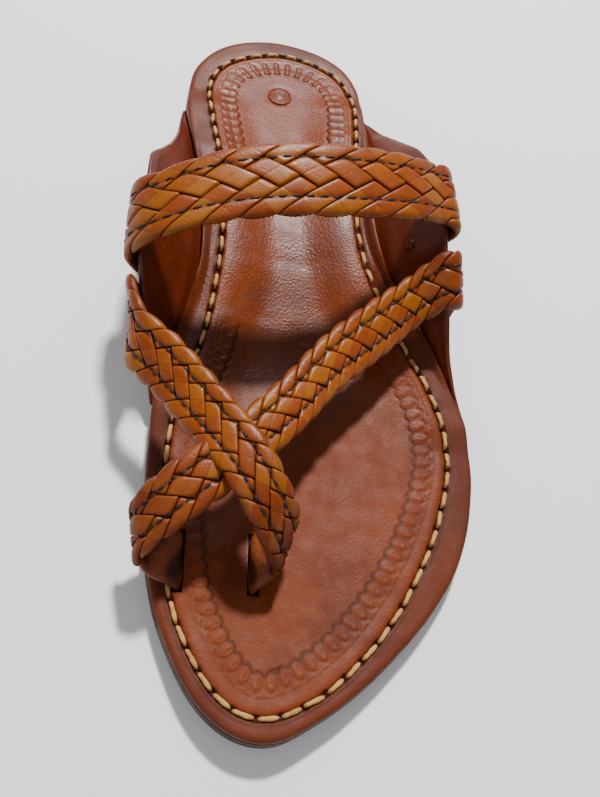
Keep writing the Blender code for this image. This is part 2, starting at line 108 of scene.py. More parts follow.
soft_light("key", (0.10, 0.47, 1.00), (0, -0.1, 0), (0.10, 0.10), 22, (1.0, 0.98, 0.96))
sheen = soft_light("sheen", (0.05, 0.76, 0.74), (0, -0.06, 0), (0.30, 0.26), 5, (0.90, 0.95, 1.0))
sheen.visible_diffuse = False
soft_light("front_fill", (-0.5, -0.9, 0.9), (0, -0.1, 0), (1.2, 1.2), 3, (0.96, 0.98, 1.0))
world = bpy.data.worlds.new("surround")
world.use_nodes = True
world.node_tree.nodes["Background"].inputs["Color"].default_value = (0.95, 0.97, 1.0, 1)
world.node_tree.nodes["Background"].inputs["Strength"].default_value = 0.36
bpy.context.scene.world = world

# %% [markdown]
# Every piece follows the same last, so the sole's outline, the ears and the straps' paths are
# written here as the solid model has them: short tables of shares of the shoe's own sizes.

# %% Sizes and tables of the shoe
SOLE_LENGTH = 0.2655
BALL_WIDTH = 0.1048
WAIST_WIDTH = 0.0645
HEEL_WIDTH = 0.0688
HEEL_BEHIND = 0.0352
OUTSOLE_THICK = 0.0062
INSOLE_THICK = 0.0028
INSOLE_STEP = 0.0014
INSOLE_LIP = 0.0003
HEEL_RISE = 0.0120
HEEL_BREAST = 0.0620
TOE_SPRING = 0.0030
TOE_SPRING_RUN = 0.0480
GAP = 0.0003
SEAT = 0.0007
EAR_THICK = 0.0025
EAR_HEIGHT = 0.0320
EAR_FLARE = 0.0200
EAR_TAB = 0.0110
EAR_BEND = 0.0030
ROOT_FADE = 0.014
ROOT_FADE_BACK = 0.005
EAR_ROOT = 0.25
EAR_SKIVE = 0.35
EDGE_SKIVE = 0.35
EDGE_SKIVE_FROM = 0.80
EAR_FADE = 0.045
STRAP_THICK = 0.0036
STRAP_CROWN = 0.0009
CREST_RISE = 0.0027
INSTEP_HEIGHT = 0.0660
TOE_STRAP_HEIGHT = 0.0400
TAB_THICK = 0.0026
SLIT_LENGTH = 0.0180
SLIT_INNER = 0.0250
SLIT_OUTER = 0.0030
SLIT_FORWARD = 0.1810
TAB_CLEAR = 0.0010
EDGE_ROUND = 0.40
CREST_INSET = 0.25
CREST_FROM = 0.93

OUTLINE = [
    # along, width, inner, outer
    (0.000, HEEL_WIDTH, -0.015, -0.015), (0.020, HEEL_WIDTH, 0.270, 0.300),
    (0.052, HEEL_WIDTH, 0.402, 0.430), (0.100, HEEL_WIDTH, 0.482, 0.492),
    (0.165, HEEL_WIDTH, 0.497, 0.503), (0.250, WAIST_WIDTH, 0.472, 0.530),
    (0.340, WAIST_WIDTH, 0.405, 0.550), (0.420, WAIST_WIDTH, 0.388, 0.612),
    (0.500, BALL_WIDTH, 0.275, 0.485), (0.570, BALL_WIDTH, 0.322, 0.585),
    (0.630, BALL_WIDTH, 0.350, 0.642), (0.680, BALL_WIDTH, 0.351, 0.649),
    (0.740, BALL_WIDTH, 0.347, 0.629), (0.800, BALL_WIDTH, 0.335, 0.580),
    (0.860, BALL_WIDTH, 0.302, 0.484), (0.910, BALL_WIDTH, 0.252, 0.367),
    (0.955, BALL_WIDTH, 0.187, 0.236), (0.985, BALL_WIDTH, 0.110, 0.116),
    (1.000, BALL_WIDTH, -0.005, 0.005),
]
SHANK = [
    # along, share of the heel's rise
    (0.000, 1.00), (0.235, 1.00), (0.340, 0.84), (0.420, 0.54), (0.500, 0.18),
    (0.570, 0.00), (1.000, 0.00),
]
OUTER_EAR = [
    # along, rise, flare
    (0.145, 0.02, 0.05), (0.183, 0.15, 0.29), (0.232, 0.43, 0.54), (0.285, 0.74, 0.73),
    (0.345, 0.94, 0.80), (0.406, 0.97, 0.77), (0.458, 0.86, 0.57), (0.504, 0.60, 0.34),
    (0.549, 0.28, 0.16), (0.594, 0.09, 0.06), (0.620, 0.02, 0.04),
]
INNER_EAR = [
    # along, rise, flare
    (0.170, 0.02, 0.04), (0.220, 0.12, 0.20), (0.270, 0.32, 0.42), (0.315, 0.60, 0.68),
    (0.360, 0.88, 0.90), (0.413, 1.00, 0.94), (0.466, 0.97, 0.88), (0.515, 0.82, 0.68),
    (0.560, 0.48, 0.36), (0.594, 0.18, 0.17), (0.622, 0.02, 0.03),
]
INSTEP_OUTER_END = (1, 0.340, 0.425, (0.70, 0.80, 0.90))
INSTEP_INNER_END = (-1, 0.420, 0.500, (0.70, 0.80, 0.90))
TOE_OUTER_END = (1, 0.446, 0.500, (0.74, 0.88))
TOE_INNER_END = (-1, 0.515, 0.566, (0.74, 0.88))
INSTEP_STRAP = [
    # back edge x, y, z, front edge x, y, z
    (0.462, -0.212, 0.770, 0.490, -0.290, 0.700), (0.350, -0.230, 0.870, 0.375, -0.308, 0.790),
    (0.165, -0.250, 0.960, 0.140, -0.332, 0.860), (-0.030, -0.262, 0.970, -0.040, -0.345, 0.870),
    (-0.225, -0.278, 0.920, -0.220, -0.358, 0.830),
    (-0.350, -0.292, 0.840, -0.345, -0.370, 0.760),
]
INNER_TOE_STRAP = [
    # rear edge x, y, z, front edge x, y, z
    (-0.370, -0.438, 0.970, -0.405, -0.482, 0.660), (-0.290, -0.466, 0.970, -0.350, -0.508, 0.690),
    (-0.160, -0.525, 0.960, -0.243, -0.564, 0.770), (-0.030, -0.594, 0.970, -0.130, -0.628, 0.880),
    (0.024, -0.630, 0.890, -0.064, -0.667, 0.790), (0.046, -0.645, 0.700, -0.012, -0.692, 0.580),
    (0.030, -0.648, 0.460, 0.008, -0.708, 0.410),
]
OUTER_TOE_STRAP = [
    # rear edge x, y, z, front edge x, y, z
    (0.425, -0.333, 0.880, 0.442, -0.386, 0.640), (0.280, -0.380, 0.840, 0.305, -0.441, 0.640),
    (0.130, -0.438, 0.830, 0.170, -0.496, 0.700), (0.005, -0.502, 0.840, 0.060, -0.556, 0.750),
    (-0.110, -0.552, 0.850, -0.060, -0.606, 0.780), (-0.215, -0.590, 0.850, -0.160, -0.645, 0.770),
    (-0.300, -0.618, 0.790, -0.250, -0.672, 0.680), (-0.352, -0.640, 0.620, -0.325, -0.696, 0.530),
    (-0.330, -0.647, 0.440, -0.312, -0.710, 0.400),
]


# %% Reading the tables
def read(table, column, at):
    """Values of a column at places between the table's rows, on a curve with no overshoot."""
    x = np.array([row[0] for row in table])
    y = np.array([row[column] for row in table])
    rise = np.diff(y) / np.diff(x)
    slope = np.zeros(len(x))
    slope[0], slope[-1] = rise[0], rise[-1]
    steady = rise[:-1] * rise[1:] > 0
    both = np.where(steady, rise[:-1] + rise[1:], 1.0)
    slope[1:-1] = np.where(steady, 2 * rise[:-1] * rise[1:] / both, 0.0)
    at = np.clip(at, x[0], x[-1])
    i = np.clip(np.searchsorted(x, at, side="right") - 1, 0, len(x) - 2)
    span = x[i + 1] - x[i]
    t = (at - x[i]) / span
    a, b, da, db = y[i], y[i + 1], slope[i] * span, slope[i + 1] * span
    return a + t * (da + t * (3 * (b - a) - 2 * da - db + t * (2 * (a - b) + da + db)))


def soft_step(low, high, value):
    """0 below low, 1 above high and a smooth rise between."""
    t = np.clip((value - low) / (high - low), 0.0, 1.0)
    return t * t * (3 - 2 * t)


def turn(along):
    return np.arccos(1 - 2 * np.clip(along, 0, 1))


EDGE = [(float(turn(a)), -i * w, o * w) for a, w, i, o in OUTLINE]


def y_at(along):
    return HEEL_BEHIND - along * SOLE_LENGTH


def along_at(y):
    return (HEEL_BEHIND - y) / SOLE_LENGTH


def edge_x(side, along):
    """x of the sole's edge on the inner side (-1) or the outer side (1)."""
    return read(EDGE, 1 if side < 0 else 2, turn(along))


def outsole_bottom(along):
    spring = np.maximum(0.0, (along - 1) * SOLE_LENGTH + TOE_SPRING_RUN) / TOE_SPRING_RUN
    return HEEL_RISE * read(SHANK, 1, along) + TOE_SPRING * spring ** 2


def outsole_top(along):
    return outsole_bottom(along) + OUTSOLE_THICK


def ear_table(side):
    return INNER_EAR if side < 0 else OUTER_EAR


def ear_weight(side, along, height=0.0):
    """Share of the ear's full thickness: skived to both ends and to its free edge."""
    ends = read(ear_table(side), 1, along)
    edge = 1 - EDGE_SKIVE * soft_step(EDGE_SKIVE_FROM, 1.0, height)
    return np.minimum(1.0, EAR_SKIVE + ends / EAR_SKIVE) * edge


def ear_point(side, along, height, out=0.0):
    """Point on the ear's outer face, from the root's inner edge (0) to the free edge (1)."""
    edge = abs(edge_x(side, along))
    rise = EAR_HEIGHT * read(ear_table(side), 1, along)
    flare = EAR_FLARE * read(ear_table(side), 2, along)
    start = np.array([edge - EAR_BEND, 0.0])
    knee = np.array([edge + min(EAR_BEND / 2, flare), 0.0])
    tip = np.array([edge + flare, rise])
    if height <= EAR_ROOT:
        point = start - np.array([EAR_TAB * (1 - height / EAR_ROOT), 0.0])
        run = np.array([1.0, 0.0])
    else:
        t = (height - EAR_ROOT) / (1 - EAR_ROOT)
        point = (1 - t) ** 2 * start + 2 * t * (1 - t) * knee + t * t * tip
        run = (1 - t) * (knee - start) + t * (tip - knee)
    run = run / np.linalg.norm(run)
    point = point + out * np.array([run[1], -run[0]])
    return np.array([side * point[0], y_at(along), outsole_top(along) + GAP + point[1]])


print("ball width", round(float(edge_x(1, 0.68) - edge_x(-1, 0.68)) * 1000, 1), "mm")

# %% [markdown]
# A few small helpers carry every piece into the scene. They make an object from points and
# faces, let it ride on the shoe, hide the solids that it takes the place of, and store the
# numbers that its leather reads: relief, margin, dull and tone.

# %% Making pieces
def new_piece(name, points, faces, material, smooth_angle=50):
    """A mesh object with smooth shading, from points in metres."""
    mesh = bpy.data.meshes.new(name)
    mesh.from_pydata([tuple(p) for p in points], [], faces)
    mesh.validate()
    work = bmesh.new()
    work.from_mesh(mesh)
    bmesh.ops.recalc_face_normals(work, faces=work.faces)
    work.to_mesh(mesh)
    work.free()
    return finish_piece(name, mesh, material, smooth_angle)


def finish_piece(name, mesh, material, smooth_angle):
    """An object with this mesh, smooth except at edges sharper than the angle in degrees."""
    mesh.shade_smooth()
    mesh.set_sharp_from_angle(angle=math.radians(smooth_angle))
    mesh.materials.append(material)
    item = bpy.data.objects.new(name, mesh)
    bpy.context.scene.collection.objects.link(item)
    return item


def settle(piece, slot, *nodes):
    """The piece rides on the shoe and hides the named solids that it takes the place of. slot is
    not used.
    """
    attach(piece, "root")
    if nodes:
        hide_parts(*nodes)
    print(piece.name, len(piece.data.polygons), "faces")


def store(mesh, name, values):
    """Stores one number a point, which a material can read by its name."""
    layer = mesh.attributes.new(name, "FLOAT", "POINT")
    layer.data.foreach_set("value", np.asarray(values, dtype=np.float32))


def unit(vectors):
    """Vectors of length 1, along the last axis."""
    return vectors / np.maximum(np.linalg.norm(vectors, axis=-1), 1e-9)[..., None]


def ring_faces(rings, size, first=False, last=False):
    """Faces between closed rings of size points that follow each other, with flat ends if asked."""
    faces = []
    for a in range(0, (rings - 1) * size, size):
        for j in range(size):
            k = (j + 1) % size
            faces.append((a + j, a + k, a + size + k, a + size + j))
    if first:
        faces.append(tuple(range(size)))
    if last:
        faces.append(tuple((rings - 1) * size + j for j in reversed(range(size))))
    return faces


def tube(path, radii, sides, twist=0.0, plies=0.0):
    """Points and faces of a closed rounded cord along a path. plies gives the depth of the two
    strands' valley, and twist how far they turn along the path."""
    path = np.asarray(path, dtype=float)
    run = unit(np.gradient(path, axis=0))
    side = unit(np.cross(run, (0.0, 0.0, 1.0)))
    up = np.cross(side, run)
    angle = np.linspace(0, 2 * math.pi, sides, endpoint=False)
    share = np.linspace(0, 1, len(path))
    rings = []
    for i in range(len(path)):
        size = radii[i] * (1 + plies * np.cos(2 * (angle - twist * share[i])))
        ring = path[i] + side[i] * (np.cos(angle) * size)[:, None]
        rings.append(ring + up[i] * (np.sin(angle) * size)[:, None])
    points = np.vstack(rings + [path[:1], path[-1:]])
    faces = ring_faces(len(path), sides)
    last = (len(path) - 1) * sides
    for j in range(sides):
        k = (j + 1) % sides
        faces.append((j, len(points) - 2, k))
        faces.append((last + k, len(points) - 1, last + j))
    return points, faces


def gather(parts):
    """Joins many lots of points and faces into one."""
    points = np.vstack([p for p, _ in parts])
    faces = []
    start = 0
    for own, own_faces in parts:
        faces += [tuple(start + i for i in face) for face in own_faces]
        start += len(own)
    return points, faces

# %% [markdown]
# Leather is one material with many moods. Three effects come back in all of them, so each is a
# node group: fine grain for the bump, slow drift of the colour where dye and wax took unevenly,
# and a tint that paints shade into hollows and a lighter colour onto raised ridges.

# %% Node helpers
def add_node(tree, kind, inputs=None, **settings):
    """Adds a node, sets it up and joins its inputs to sockets or values."""
    item = tree.nodes.new(kind)
    for key, value in settings.items():
        setattr(item, key, value)
    for key, value in (inputs or {}).items():
        if isinstance(value, bpy.types.NodeSocket):
            tree.links.new(value, item.inputs[key])
        else:
            item.inputs[key].default_value = value
    return item


def new_group(name, inputs, output, kind):
    """An empty shader group with named sockets: its tree, its inputs and its output node."""
    tree = bpy.data.node_groups.new(name, "ShaderNodeTree")
    for label, start in inputs.items():
        colour = isinstance(start, tuple)
        socket = tree.interface.new_socket(
            label, in_out="INPUT", socket_type="NodeSocketColor" if colour else "NodeSocketFloat")
        socket.default_value = start
    tree.interface.new_socket(output, in_out="OUTPUT", socket_type=kind)
    return tree, tree.nodes.new("NodeGroupInput").outputs, tree.nodes.new("NodeGroupOutput")


def use_group(tree, group, inputs):
    return add_node(tree, "ShaderNodeGroup", inputs, node_tree=group).outputs[0]


def math_node(tree, operation, a, b=0.0):
    return add_node(tree, "ShaderNodeMath", {0: a, 1: b}, operation=operation).outputs[0]


def mix_colour(tree, factor, a, b):
    return add_node(tree, "ShaderNodeMix", {0: factor, 6: a, 7: b}, data_type="RGBA").outputs[2]


def remap(tree, value, low, high, to_low=0.0, to_high=1.0):
    ports = {"Value": value, "From Min": low, "From Max": high, "To Min": to_low, "To Max": to_high}
    return add_node(tree, "ShaderNodeMapRange", ports, interpolation_type="SMOOTHSTEP").outputs[0]


def object_place(tree):
    return add_node(tree, "ShaderNodeTexCoord").outputs["Object"]


def noise(tree, scale, detail=3.0, roughness=0.55):
    ports = {"Vector": object_place(tree), "Scale": scale, "Detail": detail, "Roughness": roughness}
    return add_node(tree, "ShaderNodeTexNoise", ports).outputs["Fac"]


# %% Leather's shared effects
grain, taken, given = new_group(
    "Leather grain", {"Cells": 900.0, "Pores": 0.5}, "Height", "NodeSocketFloat")
cells = add_node(grain, "ShaderNodeTexVoronoi",
                 {"Vector": object_place(grain), "Scale": taken["Cells"]}).outputs["Distance"]
fine = noise(grain, taken["Cells"], 4.0, 0.6)
grain.links.new(mix_colour(grain, taken["Pores"], fine, cells), given.inputs["Height"])

drift, taken, given = new_group(
    "Colour drift",
    {"Base": (0.3, 0.1, 0.04, 1), "Dark": (0.1, 0.03, 0.01, 1), "Light": (0.5, 0.2, 0.1, 1),
     "Patches": 60.0, "Strength": 0.5}, "Color", "NodeSocketColor")
broad = noise(drift, taken["Patches"])
close = noise(drift, math_node(drift, "MULTIPLY", taken["Patches"], 7.0), 2.0)
darker = math_node(drift, "MULTIPLY", remap(drift, broad, 0.42, 0.72), taken["Strength"])
lighter = math_node(drift, "MULTIPLY", remap(drift, close, 0.50, 0.80), taken["Strength"])
drifted = mix_colour(drift, darker, taken["Base"], taken["Dark"])
drift.links.new(mix_colour(drift, lighter, drifted, taken["Light"]), given.inputs["Color"])

hollow_shade_and_ridges, taken, given = new_group(
    "Hollows and ridges",
    {"Color": (0.3, 0.1, 0.04, 1), "Relief": 0.0, "Hollow": (0.04, 0.012, 0.006, 1),
     "Ridge": (0.5, 0.25, 0.15, 1), "Depth": 0.5, "Height": 0.5}, "Color", "NodeSocketColor")
# Painted shade: the deeper a hollow in the stored relief, the darker its colour. Raised ridges are
# painted lighter.
sunk = remap(hollow_shade_and_ridges, math_node(hollow_shade_and_ridges, "MULTIPLY", taken["Relief"], -1.0), 0.0, taken["Depth"])
proud = remap(hollow_shade_and_ridges, taken["Relief"], 0.0, taken["Height"])
tinted = mix_colour(hollow_shade_and_ridges, math_node(hollow_shade_and_ridges, "MULTIPLY", sunk, 0.8), taken["Color"],
                    taken["Hollow"])
tinted = mix_colour(hollow_shade_and_ridges, math_node(hollow_shade_and_ridges, "MULTIPLY", proud, 0.35), tinted, taken["Ridge"])
hollow_shade_and_ridges.links.new(tinted, given.inputs["Color"])
print("shared effects:", [tree.name for tree in (grain, drift, hollow_shade_and_ridges)])

# %% A leather from the shared effects
def rgb(colour):
    """Screen values, 0 to 255, as the linear values that a shader takes."""
    parts = [c / 255 for c in colour]
    return tuple(p / 12.92 if p <= 0.04045 else ((p + 0.055) / 1.055) ** 2.4 for p in parts) + (1,)


def leather(name, base, dark, light, tint=None, edge=None, tones=None, dulled=0.0, patches=60.0,
            strength=0.6, cells=1300.0, pores=0.3, bump=0.14, depth=0.0006, smooth=(0.26, 0.42),
            sink=0.5, rise=0.5, shine=0.35):
    """A leather, its colours in screen values. tint is the colours of the painted shade in the
    stored relief's hollows and of its lighter ridges, edge the colour that the stored margin blends
    in, tones two colours that each strip's stored tone leans to, and dulled how much rougher the
    stored dull parts are."""
    material = bpy.data.materials.new(name)
    material.use_nodes = True
    tree = material.node_tree
    shader = tree.nodes["Principled BSDF"]

    def stored(label):
        return add_node(tree, "ShaderNodeAttribute", attribute_name=label).outputs["Fac"]

    colour = use_group(tree, drift, {"Base": rgb(base), "Dark": rgb(dark), "Light": rgb(light),
                                     "Patches": patches, "Strength": strength})
    worn = remap(tree, noise(tree, patches * 4, 4.0), 0.3, 0.7, *smooth)
    if tones:
        own = stored("tone")
        for low, high, tone in ((0.45, 1.0, tones[0]), (0.55, 0.0, tones[1])):
            share = math_node(tree, "MULTIPLY", remap(tree, own, low, high), 0.6)
            colour = mix_colour(tree, share, colour, rgb(tone))
    if edge:
        uneven = remap(tree, noise(tree, patches, 2.0), 0.3, 0.7, 0.55, 1.0)
        share = math_node(tree, "MULTIPLY", stored("margin"), uneven)
        colour = mix_colour(tree, share, colour, rgb(edge))
        worn = math_node(tree, "ADD", worn, math_node(tree, "MULTIPLY", share, 0.14))
    # Painted shade in the stored relief's hollows, and a lighter colour on its ridges.
    if tint:
        colour = use_group(tree, hollow_shade_and_ridges, {
            "Color": colour, "Relief": stored("relief"), "Hollow": rgb(tint[0]),
            "Ridge": rgb(tint[1]), "Depth": sink, "Height": rise})
    if dulled:
        worn = math_node(tree, "ADD", worn, math_node(tree, "MULTIPLY", stored("dull"), dulled))
    tree.links.new(colour, shader.inputs["Base Color"])
    tree.links.new(worn, shader.inputs["Roughness"])
    height = use_group(tree, grain, {"Cells": cells, "Pores": pores})
    bumps = add_node(tree, "ShaderNodeBump",
                     {"Height": height, "Strength": bump, "Distance": depth})
    tree.links.new(bumps.outputs["Normal"], shader.inputs["Normal"])
    shader.inputs["Specular IOR Level"].default_value = shine
    return material


INSOLE_LEATHER = leather(
    "insole_leather", (112, 45, 6), (86, 31, 6), (122, 56, 13), ((34, 10, 4), (126, 60, 20)),
    edge=(84, 36, 20), dulled=0.22, patches=38.0, strength=0.75, cells=1150.0, pores=0.35,
    bump=0.28, smooth=(0.29, 0.41), sink=0.40, shine=0.21)
EAR_LEATHER = leather(
    "ear_leather", (96, 34, 10), (64, 20, 7), (114, 46, 18), ((20, 6, 4), (96, 46, 28)),
    patches=55.0)
SOLE_LEATHER = leather(
    "sole_leather", (66, 32, 26), (40, 18, 14), (88, 48, 40), ((16, 7, 5), (88, 48, 40)),
    patches=80.0, cells=1100.0, pores=0.6, bump=0.35, smooth=(0.42, 0.62))
HEEL_LEATHER = leather(
    "heel_leather", (50, 26, 20), (28, 14, 11), (72, 42, 34), ((14, 6, 4), (72, 42, 34)),
    patches=90.0, cells=1100.0, pores=0.6, bump=0.35, smooth=(0.42, 0.64))
TAB_LEATHER = leather(
    "tab_leather", (132, 62, 24), (84, 34, 14), (158, 84, 42), ((30, 10, 5), (150, 84, 50)),
    patches=90.0, strength=0.7, pores=0.4, bump=0.25, smooth=(0.32, 0.5))
STRIP_LEATHER = leather(
    "strip_leather", (140, 68, 8), (112, 42, 5), (160, 88, 22), ((46, 13, 3), (160, 90, 30)),
    edge=(84, 24, 4), tones=((150, 90, 16), (122, 46, 6)), patches=75.0, strength=0.7,
    cells=1500.0, bump=0.18, smooth=(0.30, 0.46), sink=0.9, rise=1.0, shine=0.25)
CORD = leather(
    "cord", (198, 148, 84), (136, 84, 40), (220, 178, 114), patches=260.0, strength=0.7,
    cells=4200.0, pores=0.2, bump=0.6, depth=0.0003, smooth=(0.55, 0.75))
THREAD = leather(
    "thread", (38, 12, 6), (22, 7, 4), (66, 26, 12), patches=300.0, cells=5200.0, pores=0.2,
    bump=0.5, depth=0.0002, smooth=(0.5, 0.7))
print("leathers ready")

# %% [markdown]
# The insole is tooled before it is sewn on: a groove for the stitches, a rounded ridge inside
# it, a stamped border, and a smooth bed that the foot presses down. A height map would fake it,
# but the rim catches the light from the side, so it is a real mesh. Its rings run parallel to
# the stitch line, close together where the tools cut, so that every ridge follows the edge.

# %% The stitch line
STITCH_LINE = [
    (1.9, 26.6), (-18.5, 18.5), (-25.8, 3.7), (-23.4, -19.4), (-19.0, -45.0), (-17.9, -68.3),
    (-18.8, -83.4), (-20.4, -97.3), (-22.6, -108.9), (-28.3, -126.0), (-30.6, -145.0),
    (-30.4, -167.0), (-27.6, -188.6), (-22.9, -202.2), (-16.3, -214.1), (-8.9, -221.6),
    (-0.8, -224.3), (8.0, -222.3), (20.9, -214.4), (37.0, -197.6), (51.0, -173.5), (58.8, -149.4),
    (58.8, -134.6), (53.8, -118.0), (46.6, -104.8), (35.8, -82.9), (30.3, -65.6), (28.6, -40.0),
    (30.3, -14.9), (29.7, 6.7), (21.5, 20.3),
]
STATION_STEP = 0.45


def walked_length(points):
    """Distance walked along a line at each of its points."""
    return np.concatenate([[0], np.cumsum(np.linalg.norm(np.diff(points, axis=0), axis=1))])


def closed_curve(points, step):
    """Evenly spaced points on a smooth closed curve through the given ones."""
    points = np.asarray(points, dtype=float)
    count = len(points)
    fine = []
    for i in range(count):
        before, a, b, after = (points[(i + k) % count] for k in (-1, 0, 1, 2))
        for t in np.linspace(0, 1, 24, endpoint=False):
            fine.append(0.5 * (2 * a + (b - before) * t
                               + (2 * before - 5 * a + 4 * b - after) * t ** 2
                               + (3 * a - before - 3 * b + after) * t ** 3))
    fine = np.array(fine + [fine[0]])
    length = walked_length(fine)
    number = int(round(length[-1] / step))
    at = np.linspace(0, length[-1], number, endpoint=False)
    return np.column_stack([np.interp(at, length, fine[:, c]) for c in (0, 1)]), length[-1]


def round_smooth(values, reach):
    """Smooths values around a closed line with a soft window of the given reach, in steps."""
    if reach < 0.5:
        return values
    offsets = np.arange(-int(3 * reach), int(3 * reach) + 1)
    weights = np.exp(-0.5 * (offsets / reach) ** 2)
    weights /= weights.sum()
    return sum(w * np.roll(values, -int(k), axis=0) for k, w in zip(offsets, weights))


def around(points):
    """Directions along a closed line of points."""
    return unit(np.roll(points, -1, axis=0) - np.roll(points, 1, axis=0))


stitch_points, stitch_length = closed_curve(STITCH_LINE, STATION_STEP)
stitch_points = round_smooth(stitch_points, 8)
stations = len(stitch_points)
inward = around(stitch_points)[:, ::-1] * (-1, 1)
if inward[0][1] > 0:
    inward = -inward
walked = np.arange(stations) * stitch_length / stations
print("stitch line", round(stitch_length), "mm,", stations, "stations")

# %% [markdown]
# The insole's surface: the outsole's height, plus the lift where an ear's root lies under it.
# The lift is worked out once for each side on a small grid, and read between its points.

# %% The insole's surface
LIFT_ALONGS = np.linspace(0.05, 0.75, 150)
LIFT_SIDES = np.linspace(0.0, 0.070, 141)


def lift_grid(side):
    """Rise of the insole over an ear's root and bend, by station and distance from the axis."""
    first, last = ear_table(side)[0][0], ear_table(side)[-1][0]
    rows = []
    for along in LIFT_ALONGS:
        fade = soft_step(first - EAR_FADE, first, along)
        fade *= 1 - soft_step(last, last + EAR_FADE, along)
        here = min(max(along, first), last)
        clear = EAR_THICK * float(ear_weight(side, here)) + SEAT + GAP
        sheet = np.linspace(EAR_ROOT, EDGE_SKIVE_FROM, 25)
        bend = np.array([ear_point(side, here, h, -clear) for h in sheet])
        over = np.interp(LIFT_SIDES, np.abs(bend[:, 0]), bend[:, 2]) - outsole_top(here) - GAP
        rows.append(fade * np.maximum(over, clear))
    return np.array(rows)


LIFTS = {-1: lift_grid(-1), 1: lift_grid(1)}


def insole_lift(side, x, along):
    grid = LIFTS[side]
    u = (along - LIFT_ALONGS[0]) / (LIFT_ALONGS[1] - LIFT_ALONGS[0])
    v = np.abs(x) / (LIFT_SIDES[1] - LIFT_SIDES[0])
    i = np.clip(u.astype(int), 0, len(LIFT_ALONGS) - 2)
    j = np.clip(v.astype(int), 0, len(LIFT_SIDES) - 2)
    fu = np.clip(u - i, 0, 1)
    fv = np.clip(v - j, 0, 1)
    low = grid[i, j] * (1 - fv) + grid[i, j + 1] * fv
    high = grid[i + 1, j] * (1 - fv) + grid[i + 1, j + 1] * fv
    return low * (1 - fu) + high * fu


def insole_top(x, y, depth):
    """Height of the untooled insole, depth being the distance from its edge, in metres."""
    along = along_at(y)
    middle = (edge_x(-1, along) + edge_x(1, along)) / 2
    root = EAR_BEND + EAR_TAB - INSOLE_STEP + 3 * GAP
    near = 1 - soft_step(root - ROOT_FADE_BACK, root + ROOT_FADE, depth)
    rise = np.where(x < middle, insole_lift(-1, x, along), insole_lift(1, x, along)) * near
    return outsole_top(along) + GAP + rise + INSOLE_THICK


# %% Rings of the insole
OUTER_RINGS = (0.0, 0.05, 0.11, 0.18, 0.26, 0.36, 0.48, 0.60, 0.72, 0.82, 0.90, 0.96)
TOOLED_RINGS = np.concatenate([np.arange(0.0, 3.0, 0.37), np.arange(3.0, 13.4, 0.42)])
BED_RINGS = (0.06, 0.14, 0.24, 0.36, 0.50, 0.64, 0.78, 0.90, 1.0)
TOE_MIDDLE = 0.18
HEEL_MIDDLE = 0.40
THINNEST = 0.0015


def middle_line(ring):
    """The points on the sole's middle line that the points of a ring look at, in mm."""
    y = np.clip(ring[:, 1], (y_at(1) + TOE_MIDDLE * BALL_WIDTH) * 1000,
                (y_at(0) - HEEL_MIDDLE * HEEL_WIDTH) * 1000)
    along = along_at(y / 1000)
    return np.column_stack([(edge_x(-1, along) + edge_x(1, along)) * 500, y])


dense = (1 - np.cos(math.pi * np.linspace(0, 1, 1500))) / 2
dense = dense[edge_x(1, dense) - edge_x(-1, dense) > THINNEST]
rim = np.vstack([np.column_stack([edge_x(1, dense), y_at(dense)]),
                 np.column_stack([edge_x(-1, dense), y_at(dense)])[::-1]]) * 1000
rim_in = around(rim)[:, ::-1] * (1, -1)
if rim_in[700][0] > 0:
    rim_in = -rim_in
rim_edge = rim + rim_in * INSOLE_LIP * 1000

edge_points = np.zeros_like(stitch_points)
for i, (point, out) in enumerate(zip(stitch_points, -inward)):
    away = rim_edge - point
    ahead_of = away @ out
    off = np.abs(away @ np.array([-out[1], out[0]]))
    off[ahead_of < 0] = 1e9
    edge_points[i] = point + out * ahead_of[np.argmin(off)]
edge_points = round_smooth(edge_points, 3)
margin = np.linalg.norm(edge_points - stitch_points, axis=1)
print("margin outside the stitches:", round(margin.min(), 1), "to", round(margin.max(), 1), "mm")

# %% [markdown]
# The tools. Each stamp is a small function of the distance along the stitch line and the
# distance in from it. The forefoot has leaf stamps with a scalloped line inside, the waist a
# chain of loops, and the heel pad's frame has short bars. They are blended where they meet.

# %% Stamps and grooves
STITCH_PITCH = 7.0
STAMP_PITCH = 4.25
STITCH_REACH = [
    # y, half of a stitch's visible length
    (-230.0, 2.55), (-150.0, 2.35), (-110.0, 2.05), (-60.0, 1.75), (40.0, 1.75),
]
BORDER_OUT = [
    # y, distance of the border's outer line from the stitches
    (-230.0, 6.0), (-200.0, 6.0), (-150.0, 5.2), (-105.0, 4.4), (-40.0, 3.6), (40.0, 3.6),
]
BORDER_IN = [
    # y, distance of the border's inner line from the stitches
    (-230.0, 11.4), (-200.0, 11.6), (-150.0, 10.8), (-105.0, 10.2), (-40.0, 10.4), (40.0, 9.8),
]


def valley(value, width):
    return np.exp(-(value / width) ** 2)


def dome(x, y):
    """A round bump, 1 in the middle and 0 from a distance of 1."""
    return np.clip(1 - x ** 2 - y ** 2, 0, 1)


